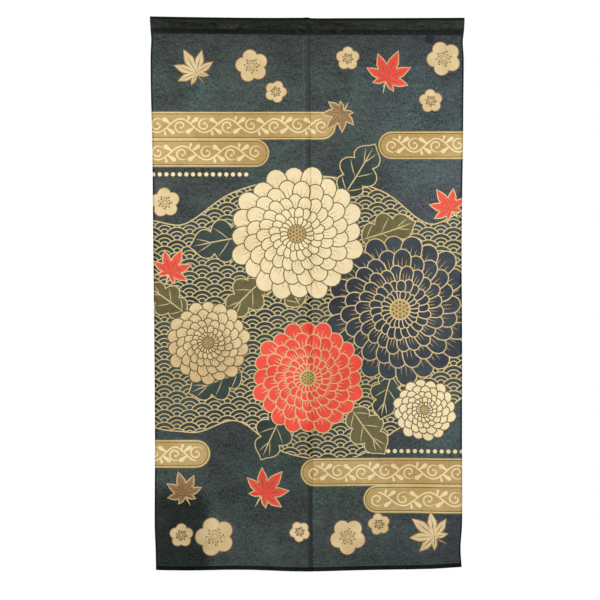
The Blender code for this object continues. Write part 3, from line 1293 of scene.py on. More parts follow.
class Shading:
    """The nodes of one material."""

    def __init__(self, name: str) -> None:
        """Starts a material with a bare shader.

        Args:
            name: The material's name.
        """
        self.material = bpy.data.materials.new(name)
        self.material.use_nodes = True
        self.tree = self.material.node_tree
        self.shader = next(node for node in self.tree.nodes if node.type == "BSDF_PRINCIPLED")

    def node(
        self,
        kind: str,
        settings: Mapping[str, object],
        values: Mapping[int | str, object],
        output: int | str = 0,
    ) -> Signal:
        """Adds any node.

        Args:
            kind: The node's type, after the word ShaderNode.
            settings: Its settings, which are set first.
            values: Values or links of its sockets.
            output: Which output is used.

        Returns:
            That output.
        """
        made = self.tree.nodes.new(f"ShaderNode{kind}")
        for name, value in settings.items():
            setattr(made, name, value)
        for name, value in values.items():
            plug(self.tree, made.inputs[name], value)
        return Signal(self.tree, made.outputs[output])

    def set(self, **values: object) -> None:
        """Sets or links the shader's own sockets, named with underlines for blanks."""
        for name, value in values.items():
            plug(self.tree, self.shader.inputs[name.replace("_", " ")], value)

    def noise(self, place: Signal, size: Triple, detail: float, start: float) -> Signal:
        """Adds uneven noise.

        Args:
            place: Where it is read, in metres.
            size: How wide its marks are along each direction.
            detail: How many finer layers it has.
            start: Which part of the noise is used.

        Returns:
            Values about one half.
        """
        scale = tuple(1 / length for length in size)
        moved = (start, start * 0.7, start * 0.3)
        shifted = self.node("VectorMath", {"operation": "MULTIPLY_ADD"}, {0: place, 1: scale, 2: moved})
        values = {"Vector": shifted, "Scale": 1.0, "Detail": detail, "Roughness": 0.55}
        return self.node("TexNoise", {"noise_dimensions": "3D"}, values)

    def mixed(self, factor: Signal, first: Signal | Colour, second: Signal | Colour) -> Signal:
        """Mixes two colours."""
        return self.node("Mix", {"data_type": "RGBA"}, {0: factor, 6: first, 7: second}, 2)

    def scaled(self, colour: Signal, by: Signal) -> Signal:
        """Makes a colour lighter or darker."""
        return self.node("VectorMath", {"operation": "SCALE"}, {0: colour, "Scale": by})

    def sharpened(self, value: Signal, low: float, high: float) -> Signal:
        """Spreads the values between two limits softly over 0 to 1."""
        settings = {"interpolation_type": "SMOOTHSTEP"}
        return self.node("MapRange", settings, {0: value, 1: low, 2: high})

    def part(self, place: Signal, axis: int) -> Signal:
        """One coordinate of a place."""
        return self.node("SeparateXYZ", {}, {0: place}, axis)

    def bump(self, strength: float, distance: float, height: Signal) -> Signal:
        """Which way a surface faces that has a fine relief."""
        return self.node("Bump", {}, {"Strength": strength, "Distance": distance, "Height": height})


def linear(seen: Colour) -> Colour:
    """The light of a colour given as shown on a screen, from 0 to 255."""
    shares = [value / 255 for value in seen]
    return tuple(s / 12.92 if s <= 0.04045 else ((s + 0.055) / 1.055) ** 2.4 for s in shares)


class ClothShading(Shading):
    """The nodes of one cloth, with the unevenness of its upright and of its level threads."""

    def __init__(self, finish: ClothFinish) -> None:
        """Starts the cloth's material.

        Args:
            finish: How the cloth looks.
        """
        super().__init__(finish.name)
        self.finish = finish
        self.flat = self.node("UVMap", {"uv_map": "Flat"}, {})
        self.warp = self.noise(self.flat, (1.9 * MM, 10 * MM, 1.0), 1.0, 3.1)
        self.weft = self.noise(self.flat, (11 * MM, 1.9 * MM, 1.0), 1.0, 8.7)

    def colour(self) -> Signal:
        """Mixes in soft clouds of the second tone.

        Returns:
            The colour. Cloth with a bluer right side has few clouds by the heading.
        """
        finish = self.finish
        broad = self.noise(self.flat, (210 * MM, 150 * MM, 1.0), 2.0, 14.9)
        patch = self.noise(self.flat, (38 * MM, 42 * MM, 1.0), 2.0, 33.8)
        clouds = self.sharpened(0.72 * broad + 0.28 * patch, 0.41, 0.61)
        first, second = finish.own(finish.seen), finish.own(finish.second)
        if not finish.bluer:
            return self.mixed(clouds, first, second)
        place = self.node("TexCoord", {}, {}, "Object")
        to_right = self.sharpened(self.part(place, 0), 60 * MM, 400 * MM)
        by_heading = self.sharpened(self.part(place, 2), -190 * MM, -70 * MM)
        colour = self.mixed(clouds * (1 - 0.9 * by_heading), first, second)
        tint = {0: colour, 1: (1.0, 1.0, 1 + finish.bluer)}
        return self.mixed(to_right, colour, self.node("VectorMath", {"operation": "MULTIPLY"}, tint))

    def light(self) -> Signal:
        """Adds the threads' grain, light flecks, broad mottling, longer streaks and the cloth's Tone.

        Returns:
            How light each place is beside its plain colour.
        """
        finish = self.finish
        fine = self.noise(self.flat, (2.4 * MM, 2.4 * MM, 1.0), 1.0, 21.3)
        light = 1 + finish.streak * (0.38 * self.warp + 0.32 * self.weft + 0.30 * fine - 0.5)
        if finish.fleck:
            flecks = self.sharpened(0.5 * fine + 0.25 * self.warp + 0.25 * self.weft, 0.50, 0.64)
            light = light + finish.fleck * (flecks - 0.25)
        # How strong each kind of mark is, its size in millimetres, and where its noise starts.
        marks = (
            (finish.mottle, 110, 80, 27.6), (finish.level, 46, 3.6, 11.6), (finish.upright, 3.2, 34, 5.4),
        )
        for strength, wide, high, start in marks:
            if strength:
                noise = self.noise(self.flat, (wide * MM, high * MM, 1.0), 2.0, start)
                light = light + strength * (noise - 0.5)
        # The Tone holds painted light and shade: broad gradients and patches, and shaded creases.
        tone = self.node("Attribute", {"attribute_name": "Tone"}, {}, "Fac")
        return light.maths("MAXIMUM", light, 0.2) * (1 + finish.toning * (tone - 1))

    def weave(self) -> Signal:
        """Adds the relief of a fine weave.

        Returns:
            Which way the surface faces.
        """
        across, along = (self.part(self.flat, axis) * (math.tau / THREAD_PITCH) for axis in (0, 1))
        height = 0.25 * (across.sine() * along.sine()) + 0.6 * self.warp + 0.6 * self.weft
        return self.bump(0.35, 0.16 * MM, height)


@dataclass(frozen=True)
class ClothFinish:
    """Sheer cloth in one ink or bare, as it is seen on screen against a white ground."""

    name: str
    seen: Colour
    second: Colour
    cover: float = 0.962
    behind: float = 1.0
    streak: float = 5.0
    fleck: float = 0.0
    mottle: float = 0.0
    level: float = 0.0
    upright: float = 0.0
    bluer: float = 0.0
    # How strongly the Tone, with its painted light and shade, shows on this ink.
    toning: float = 1.0
    gloss: float = 0.06

    def own(self, seen: Colour) -> Colour:
        """The cloth's own colour, without what shows through it."""
        light = (1 - self.cover) * self.behind
        return tuple(max(0.002, (value - light - 0.0025) / self.cover) for value in linear(seen))

    def material(self) -> bpy.types.Material:
        """Makes the cloth's material.

        Returns:
            A material with uneven threads both ways. Where they stand apart, it lets more light through.
        """
        shade = ClothShading(self)
        light = shade.light()
        shade.set(Base_Color=shade.scaled(shade.colour(), light))
        # Painted shade from the Tone also lets less light through, and painted light lets more through.
        shade.set(Roughness=0.84 - 0.25 * shade.warp, Alpha=1 - (1 - self.cover) * light)
        shade.set(Specular_IOR_Level=self.gloss, Normal=shade.weave())
        return shade.material


INKS = {
    Ink.GROUND: ClothFinish(
        "bare_sheer_cloth", (67, 72, 71), (70, 82, 78), streak=4.2, fleck=0.2, mottle=1.0, bluer=0.3
    ),
    Ink.SLATE: ClothFinish("slate_ink", (61, 70, 67), (68, 80, 74), streak=2.0, fleck=0.15, mottle=0.7),
    Ink.NIGHT: ClothFinish("night_ink", (56, 62, 68), (62, 70, 74), streak=2.0, fleck=0.15, mottle=0.7),
    Ink.GOLD: ClothFinish("gold_ink", (190, 161, 107), (174, 144, 90), 0.975, streak=1.1, toning=0.3),
    Ink.STRAW: ClothFinish("straw_ink", (212, 190, 138), (199, 172, 122), 0.975, streak=0.9, toning=0.3),
    Ink.CREAM: ClothFinish("cream_ink", (235, 216, 174), (223, 202, 158), 0.975, streak=0.7, toning=0.3),
    Ink.TAN: ClothFinish("tan_ink", (221, 199, 153), (203, 176, 130), 0.975, streak=0.8, toning=0.3),
    Ink.OLIVE: ClothFinish("olive_ink", (107, 102, 72), (94, 87, 60), 0.968, streak=2.2, toning=0.5),
    Ink.BROWN: ClothFinish("brown_ink", (161, 128, 93), (146, 112, 78), 0.975, streak=1.2, toning=0.3),
    Ink.RED: ClothFinish("red_ink", (236, 90, 75), (223, 77, 64), 0.975, streak=0.9, toning=0.3),
    Ink.HEM: ClothFinish("turned_hem_cloth", (53, 58, 57), (50, 58, 55), 0.97, 0.0, streak=3.0),
    Ink.LAPPED: ClothFinish("lapped_cloth", (61, 66, 65), (60, 68, 65), 0.97, 0.0, streak=3.0, fleck=0.2),
    Ink.OPEN: ClothFinish("drawn_open_cloth", (75, 80, 79), (80, 89, 85), 0.95, streak=1.8),
    Ink.FOOT: ClothFinish("foot_hem_cloth", (25, 27, 24), (29, 33, 29), 0.98, 0.0, streak=3.0, level=1.0),
    Ink.POCKET: ClothFinish("pocket_cloth", (40, 43, 38), (36, 45, 39), 0.97, 0.0, streak=2.2, level=2.0),
    Ink.TOP: ClothFinish("turned_top_cloth", (19, 21, 17), (20, 23, 18), 0.98, 0.0, streak=1.6),
    Ink.BAND: ClothFinish("sewn_band_cloth", (29, 31, 29), (31, 34, 31), 0.98, 0.0, streak=2.5, upright=2.4),
    Ink.LABELLED: ClothFinish("cloth_over_label", (43, 46, 54), (48, 53, 59), 0.97, 0.0, streak=3.0),
}


@dataclass(frozen=True)
class ThreadFinish:
    """Twisted sewing thread."""

    name: str = "sewing_thread"
    light: Colour = (74, 80, 80)
    dark: Colour = (40, 45, 45)

    def material(self) -> bpy.types.Material:
        """Makes the thread's material.

        Returns:
            A material that is lighter and darker along its twist.
        """
        shade = Shading(self.name)
        place = shade.node("TexCoord", {}, {}, "Object")
        twist = shade.noise(place, (0.3 * MM, 0.3 * MM, 0.3 * MM), 1.0, 2.0)
        worn = shade.noise(place, (9 * MM, 9 * MM, 9 * MM), 1.0, 6.0)
        share = shade.sharpened(0.6 * twist + 0.4 * worn, 0.35, 0.65)
        shade.set(Base_Color=shade.mixed(share, linear(self.dark), linear(self.light)))
        shade.set(Roughness=0.55 + 0.2 * twist, Specular_IOR_Level=0.3)
        shade.set(Normal=shade.bump(0.4, 0.05 * MM, twist))
        return shade.material


@dataclass(frozen=True)
class RibbonFinish:
    """A blue-grey satin ribbon with fine ribs across."""

    name: str = "label_ribbon"
    deep: Colour = (52, 56, 92)
    light: Colour = (84, 90, 134)
    rib_pitch: float = 0.5 * MM

    def material(self) -> bpy.types.Material:
        """Makes the ribbon's material.

        Returns:
            A material with ribs, soft clouds, and firmer edges that are woven denser.
        """
        shade = Shading(self.name)
        flat = shade.node("UVMap", {"uv_map": "Flat"}, {})
        across, along = shade.part(flat, 0), shade.part(flat, 1)
        ribs = (along * (math.tau / self.rib_pitch)).sine()
        threads = shade.noise(flat, (0.25 * MM, 6 * MM, 1.0), 1.0, 4.0)
        clouds = shade.noise(flat, (7 * MM, 9 * MM, 1.0), 1.0, 9.0)
        border = shade.sharpened(across.maths("ABSOLUTE", across), 9.2 * MM, 9.8 * MM)
        share = shade.sharpened(0.5 * threads + 0.5 * clouds, 0.35, 0.65)
        colour = shade.mixed(share * (1 - 0.7 * border), linear(self.deep), linear(self.light))
        shade.set(Base_Color=shade.scaled(colour, 1 + 0.08 * ribs))
        shade.set(Roughness=0.42 + 0.2 * threads + 0.15 * border, Specular_IOR_Level=0.35)
        shade.set(Normal=shade.bump(0.3, 0.06 * MM, 0.6 * ribs + threads + border))
        return shade.material


@dataclass(frozen=True)
class FloorFinish:
    """A plain pale floor."""

    name: str = "pale_floor"
    tone: Colour = (236, 236, 234)

    def material(self) -> bpy.types.Material:
        """Makes the floor's material.

        Returns:
            A pale material that is very slightly clouded.
        """
        shade = Shading(self.name)
        place = shade.node("TexCoord", {}, {}, "Object")
        clouds = shade.noise(place, (0.4, 0.4, 0.4), 2.0, 1.0)
        darker = tuple(value - 4 for value in self.tone)
        shade.set(Base_Color=shade.mixed(clouds, linear(self.tone), linear(darker)))
        shade.set(Roughness=0.7 + 0.1 * clouds, Specular_IOR_Level=0.2)
        return shade.material


# ---- Pieces ----


def add_mesh(
    name: str,
    points: Array,
    faces: Sequence[Sequence[int]],
    materials: Sequence[bpy.types.Material],
) -> bpy.types.Object:
    """Adds a smooth mesh to the scene, at the origin.

    Args:
        name: Its name.
        points: Rows of X, Y and Z.
        faces: The numbers of each face's points.
        materials: Its materials, in the order that its faces use them.

    Returns:
        The new object.
    """
    mesh = bpy.data.meshes.new(name)
    mesh.from_pydata(points.tolist(), [], faces)
    for material in materials:
        mesh.materials.append(material)
    mesh.polygons.foreach_set("use_smooth", np.ones(len(mesh.polygons), bool))
    mesh.update()
    obj = bpy.data.objects.new(name, mesh)
    bpy.context.scene.collection.objects.link(obj)
    return obj


@dataclass(frozen=True)
class Skin:
    """A mesh before it becomes a piece.

    It holds where each point lies on the flat cloth, the material of each face, and how light or dark each
    point is beside its ink's plain tone, much of it painted light and shade.
    """

    points: Array
    faces: Array
    flat: Array
    uses: Array | None = None
    tones: Array | None = None

    def piece(self, name: str, materials: Sequence[bpy.types.Material]) -> bpy.types.Object:
        """Makes the piece.

        Args:
            name: Its name.
            materials: Its materials, in the order that its faces use them.

        Returns:
            The new object, at the origin.
        """
        obj = add_mesh(name, self.points, self.faces.tolist(), materials)
        mesh = obj.data
        if self.uses is not None:
            mesh.polygons.foreach_set("material_index", self.uses.astype(np.int32))
        if self.tones is not None:
            tones = mesh.attributes.new("Tone", "FLOAT", "POINT")
            tones.data.foreach_set("value", self.tones.astype(np.float32))
        self._lay_out(mesh)
        mesh.update()
        return obj

    def _lay_out(self, mesh: bpy.types.Mesh) -> None:
        """Gives the mesh its flat cloth as a map in metres, and as one that fills a square.

        Args:
            mesh: The piece's mesh.
        """
        corners = np.empty(len(mesh.loops), np.int32)
        mesh.loops.foreach_get("vertex_index", corners)
        low, high = self.flat.min(0), self.flat.max(0)
        # The second map keeps a little inside the square's edges.
        square = (self.flat - low) / (high - low) * 0.998 + 0.001
        for name, places in (("Flat", self.flat), ("OFBake", square)):
            layer = mesh.uv_layers.new(name=name)
            layer.data.foreach_set("uv", places[corners].astype(np.float32).ravel())


@dataclass(frozen=True)
class Patch:
    """A broad patch where the cloth is seen lighter or darker, up to its share in the middle."""

    x: float
    z: float
    half_width: float
    half_height: float
    share: float
    soft: float = 0.8

    def tone(self, x: Array, z: Array) -> Array:
        """Reads the patch.

        Args:
            x: Places across, as hung.
            z: Heights, as hung.

        Returns:
            How light each place is seen beside the cloth around.
        """
        across, up = (x / MM - self.x) / self.half_width, (z / MM - self.z) / self.half_height
        away = (across**4 + up**4) ** 0.25
        return 1 + (self.share - 1) * ease((1 - away) / self.soft)


@dataclass(frozen=True)
class Toning:
    """Where the hung cloth is seen lighter or darker than its ink's plain tone, which is 1.

    Much of it is painted light and shade: lighter and darker over broad stretches and patches, painted
    shade in the troughs of creases and puckers, and painted light on their ridges. The heading's rows give
    X, and the tones of its pocket and of its band, painted lighter towards the right and at the left end.
    The panel's rows give a length of cloth above the band's foot, and its tone, painted darker towards the
    foot and just under the band.
    """

    heading: tuple[Triple, ...] = (
        (-426, 1.06, 1.16), (-392, 0.98, 0.98), (-300, 0.93, 0.86), (-190, 0.92, 0.85), (-90, 0.90, 0.94),
        (0, 0.92, 1.02), (110, 1.00, 1.02), (210, 1.13, 1.06), (330, 1.13, 1.12), (426, 1.20, 1.18),
    )
    panel: tuple[Pair, ...] = (
        (-1452, 0.89), (-1390, 0.95), (-1100, 0.98), (-600, 1.03), (-200, 1.06), (-70, 1.02), (0, 0.95),
    )
    # The first four patches are broad painted light and shade, lighter to the right and darker low down. The
    # last makes the lower left corner much darker.
    patches: tuple[Patch, ...] = (
        Patch(350, -640, 210, 660, 1.14), Patch(-130, -1240, 220, 290, 0.93),
        Patch(400, -1130, 100, 190, 1.09, 0.6), Patch(330, -1470, 230, 105, 0.92),
        Patch(-354, -1404, 108, 156, 0.63, 0.35),
    )
    # Painted shade in the troughs of ripples, puckers and creases, and painted light on their ridges.
    trough: float = 0.10
    crease: float = 0.26
    seam: float = 0.22
    seam_drop: float = 1.4 * MM
    seam_width: float = 3.0 * MM
    outer_hem: float = 0.53
    top_shade: float = 0.13
    top_fade: float = 4 * MM
    label_shade: float = 0.32
    lap_fade: float = 0.16
    limits: Pair = (0.4, 1.6)
    screen_power: float = 2.2

    def read(self, form: PanelForm, flat: Array, hung: Array) -> Array:
        """Reads the tone at points of a panel.

        Args:
            form: The panel's form.
            flat: Where the points lie on the flat cut.
            hung: Where they hang.

        Returns:
            The share of its ink's light that each point sends back.
        """
        u, w = flat.T
        x, _, z = hung.T
        seen = np.where(w > 0, self._heading_tones(form, x, w), self._panel_tones(form, u, w, x, z))
        return np.clip(seen, *self.limits) ** self.screen_power

    def _heading_tones(self, form: PanelForm, x: Array, w: Array) -> Array:
        """Reads the heading's tone: dark at the seam, and in the troughs of its creases.

        Args:
            form: The panel's form.
            x: Places across.
            w: Lengths of cloth above the band's foot.

        Returns:
            How light each place is seen.
        """
        places, pocket, band = (np.array(column) for column in zip(*self.heading))
        height = np.minimum(w, form.sleeve.stops[5] - w)
        seam = np.exp(-(((height - BAND_HEIGHT + self.seam_drop) / self.seam_width) ** 2))
        sewn = np.interp(x / MM, places, band) * (1.03 - self.seam * seam)
        plain = np.where(height > BAND_HEIGHT, np.interp(x / MM, places, pocket), sewn)
        past_top = np.abs(w - (form.sleeve.stops[2] + form.sleeve.stops[3]) / 2) - FlatCut.top_half
        # Painted shade on the pocket, fading away from the turned top.
        plain *= 1 - self.top_shade * np.exp(-np.maximum(past_top, 0) / self.top_fade)
        plain = np.where(past_top < 0, 1.0, plain)
        over_label = (x > Label.left) & (x < Label.right) & (w < Label.shows_up_to)
        plain *= 1 - self.label_shade * over_label
        # Painted shade in the troughs of the puckers and creases, and painted light on their ridges.
        return plain * (1 - self.trough * pucker(x, w) / MM - self.crease * creased(x, w) / MM)

    def _panel_tones(self, form: PanelForm, u: Array, w: Array, x: Array, z: Array) -> Array:
        """Reads the tone below the heading: darker at the hems, and down the lap.

        Args:
            form: The panel's form.
            u: Places across the cut.
            w: Places along the cut.
            x: Places across, as hung.
            z: Heights, as hung.

        Returns:
            How light each place is seen.
        """
        places, shares = (np.array(column) for column in zip(*self.panel))
        # Painted darker towards the foot and under the band, with painted shade in the troughs of the
        # ripples and creases and painted light on their ridges.
        plain = np.interp(w / MM, places, shares) * (1 - 0.5 * self.trough * relief(x, z) / MM)
        to_outer = u if form.side is Side.LEFT else form.width - u
        plain *= np.where(to_outer < form.side_hem.depth, self.outer_hem, 1.0)
        for patch in self.patches:
            plain = plain * patch.tone(x, z)
        lapped = np.where(form.width - to_outer < LAPPED_WIDTH, self.lap_fade, 0.0)
        return plain * (1 + lapped * w / form.length)


@dataclass
class FlatCut:
    """A panel's flat cloth, with its printed shapes and folds cut into its faces.

    Points that would lie closer than the merge, in millimetres, become one.
    """

    form: PanelForm
    artwork: Artwork
    pitch: float = 9 * MM
    fine: float = 3.4 * MM
    finest: float = 2.2 * MM
    near_sides: float = 20 * MM
    near_foot: float = 30 * MM
    near_heading: float = 80 * MM
    puckered: float = 56 * MM
    row_pitch: float = 4 * MM
    margin: float = 8 * MM
    merge: float = 0.001
    top_half: float = 12.0 * MM
    open_from_lap: Pair = (17.8 * MM, 15.4 * MM)
    open_length: float = 330 * MM
    open_over_foot: float = 2.2 * MM

    @property
    def drawn_open(self) -> list[float]:
        """The narrow strip beside the lap where the left cloth is drawn open."""
        return [self.form.width - place for place in self.open_from_lap]

    @property
    def turned_top(self) -> Pair:
        """Where the cloth turns over the sleeve's top.

        Returns:
            The dark strip's start and end along the cut.
        """
        stops = self.form.sleeve.stops
        middle = (stops[2] + stops[3]) / 2
        return middle - self.top_half, middle + self.top_half

    @property
    def labelled(self) -> tuple[Array, Array]:
        """The part of the right cloth that the label shows through.

        Returns:
            Its left and right, and its foot and top.
        """
        left, right = self.form.edges(np.array([Label.drop]))
        across = np.array([Label.left, Label.right])
        along = np.array([Label.shows_down_to, Label.shows_up_to])
        return (across - left) / (right - left) * self.form.width, along

    @property
    def above_foot(self) -> list[float]:
        """The foot hem's top, and the top of the strip that its sewing draws open."""
        return [self.form.foot_hem.depth, self.form.foot_hem.depth + self.open_over_foot]

    def columns(self) -> Array:
        """Spaces the plain grid across.

        Returns:
            Where its columns lie.
        """
        hem, width, near = self.form.side_hem, self.form.width, self.near_sides
        left = hem.layer - hem.lines
        middle = spread(near, width - near, self.pitch)
        inner = spread(hem.layer, near, self.fine)
        return in_order([left, inner, middle, width - inner, width - left])

    def rows(self) -> Array:
        """Spaces the plain grid along.

        Returns:
            Where its rows lie.
        """
        hem, foot = self.form.foot_hem, -self.form.length
        near, high = foot + self.near_foot, -self.near_heading
        turned = foot + hem.layer - hem.lines
        low = spread(foot + hem.layer, near, self.fine)
        middle, top = spread(near, high, self.pitch), spread(high, 0, self.row_pitch)
        return in_order([turned, low, middle, top, self.form.sleeve.lines])

    def _knots(self) -> tuple[list[float], list[float]]:
        """Finds where the cloth is creased, or changes its finish.

        Returns:
            Columns and rows that faces keep to.
        """
        hem, foot_hem, foot = self.form.side_hem, self.form.foot_hem, -self.form.length
        left = [*(hem.layer - hem.lines), hem.depth]
        across = left + [self.form.width - place for place in left]
        along = [*(foot + foot_hem.layer - foot_hem.lines), *(foot + place for place in self.above_foot)]
        if self.form.side is Side.LEFT:
            across += [*self.drawn_open, self.form.width - LAPPED_WIDTH]
        else:
            across += [*self.labelled[0], LAPPED_WIDTH]
            along += list(self.labelled[1])
        return across, along + list(self.form.sleeve.stops) + list(self.turned_top)

    def _grid(self) -> tuple[Array, Array]:
        """Lays out the plain grid.

        Returns:
            Its points, and the lines between them that faces keep to.
        """
        across, along = self._knots()
        columns = in_order([self.columns(), across])
        rows = in_order([self.rows(), along])
        numbers = np.arange(len(columns) * len(rows)).reshape(len(rows), len(columns))
        points = np.column_stack([np.tile(columns, len(rows)), np.repeat(rows, len(columns))])
        kept_columns = np.flatnonzero(np.isin(columns, in_order([across])))
        kept_rows = np.flatnonzero(np.isin(rows, in_order([along])))
        upright = [np.column_stack([numbers[:-1, i], numbers[1:, i]]) for i in kept_columns]
        level = [np.column_stack([numbers[i, :-1], numbers[i, 1:]]) for i in kept_rows]
        return points, np.vstack(upright + level)

    def _fine_points(self) -> Array:
        """Adds points where the cloth is puckered and creased, and along the foot.

        Returns:
            Rows of u and w.
        """
        hem, lines = self.form.side_hem, self.form.sleeve.lines
        turned = lines > self.turned_top[1]
        in_foot = -self.form.length + self.form.foot_hem.depth / 2
        fine_rows = np.concatenate([spread(-self.puckered, 0, self.row_pitch), lines[turned], [in_foot]])
        points = []
        for pitch, along in ((self.fine, fine_rows), (self.finest, lines[~turned])):
            across = spread(hem.depth, self.form.width - hem.depth, pitch)
            points.append(np.column_stack([np.tile(across, len(along)), np.repeat(along, len(across))]))
        return np.vstack(points)

    def _print_lines(self) -> tuple[Array, Array]:
        """Brings the print's borders onto this cut.

        Returns:
            Their points, and the lines between them.
        """
        starts, ends = (self.form.flat_of(side) for side in self.artwork.borders())
        (left, right), (low, _) = self.form.u_range, self.form.w_range
        lowest, highest = np.array([left, low]) - self.margin, np.array([right, 0.0]) + self.margin
        near = [np.all((p > lowest) & (p < highest), axis=1) for p in (starts, ends)]
        under = (starts[:, 1] < 0) | (ends[:, 1] < 0)
        kept = near[0] & near[1] & under
        pairs = np.vstack([starts[kept], ends[kept]])
        points, numbers = np.unique(np.round(pairs, DIGITS), axis=0, return_inverse=True)
        numbers = numbers.reshape(2, -1).T
        return points, numbers[numbers[:, 0] != numbers[:, 1]]

    def skin(self) -> Skin:
        """Cuts the cloth and hangs it.

        Returns:
            The hung mesh, with each face's ink.
        """
        grid, grid_lines = self._grid()
        extra = self._fine_points()
        drawn, drawn_lines = self._print_lines()
        points = np.vstack([grid, extra, drawn]) / MM
        lines = np.vstack([grid_lines, drawn_lines + len(grid) + len(extra)])
        corners = [Vector(point) for point in points.tolist()]
        made = delaunay_2d_cdt(corners, lines.tolist(), [], 0, self.merge, False)
        flat = np.array([tuple(point) for point in made[0]]) * MM
        faces = np.array([face for face in made[2] if len(face) == 3])
        middle = flat[faces].mean(1)
        (left, right), (low, high) = self.form.u_range, self.form.w_range
        in_cut = np.all((middle > (left, low)) & (middle < (right, high)), axis=1)
        faces, middle = faces[in_cut], middle[in_cut]
        used, numbers = np.unique(faces, return_inverse=True)
        flat = flat[used]
        hung = self.form.hung(flat[:, 0], flat[:, 1])
        tones = Toning().read(self.form, flat, hung)
        return Skin(hung, numbers.reshape(-1, 3), flat, self._uses(middle), tones)

    def _uses(self, middle: Array) -> Array:
        """Finds the ink of each face.

        Args:
            middle: Where the faces' middles lie on the flat cloth.

        Returns:
            The numbers of their inks.
        """
        u, w = middle.T
        printed = w < 0
        uses = np.zeros(len(middle), int)
        uses[printed] = self.artwork.inks(self.form.printed_at(u[printed], w[printed]))
        bare = printed & (uses == Ink.GROUND.value)
        depth, length = self.form.side_hem.depth, self.form.length
        foot, over_foot = (place - length for place in self.above_foot)
        uses[bare & (w < over_foot)] = Ink.OPEN.value
        if self.form.side is Side.LEFT:
            start, end = self.drawn_open
            uses[bare & (u > start) & (u < end) & (w > -self.open_length)] = Ink.OPEN.value
        to_lap = self.form.width - u if self.form.side is Side.LEFT else u
        uses[bare & (to_lap < LAPPED_WIDTH)] = Ink.LAPPED.value
        uses[bare & ((u < depth) | (u > self.form.width - depth))] = Ink.HEM.value
        uses[bare & (w < foot)] = Ink.FOOT.value
        stops = self.form.sleeve.stops
        uses[~printed] = Ink.BAND.value
        uses[(w > stops[1]) & (w < stops[4])] = Ink.POCKET.value
        uses[(w > self.turned_top[0]) & (w < self.turned_top[1])] = Ink.TOP.value
        if self.form.side is Side.RIGHT:
            (start, end), (low, high) = self.labelled
            uses[(u > start) & (u < end) & (w > low) & (w < high)] = Ink.LABELLED.value
        return uses


@dataclass
class Panel:
    """One panel of the curtain: a single length of cloth with its hems and its half of the heading."""

    name: str
    form: PanelForm
    node: str
    artwork: Artwork
    materials: Sequence[bpy.types.Material]

    def build(self) -> bpy.types.Object:
        """Cuts, prints, hems and hangs the panel.

        Returns:
            The cloth.
        """
        cloth = FlatCut(self.form, self.artwork).skin().piece(self.name, self.materials)
        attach(cloth, "root")
        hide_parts(self.node, "heading")
        return cloth


@dataclass(frozen=True)
class StitchLine:
    """A line of stitches on the flat cloth, from one place to another."""

    start: Pair
    end: Pair


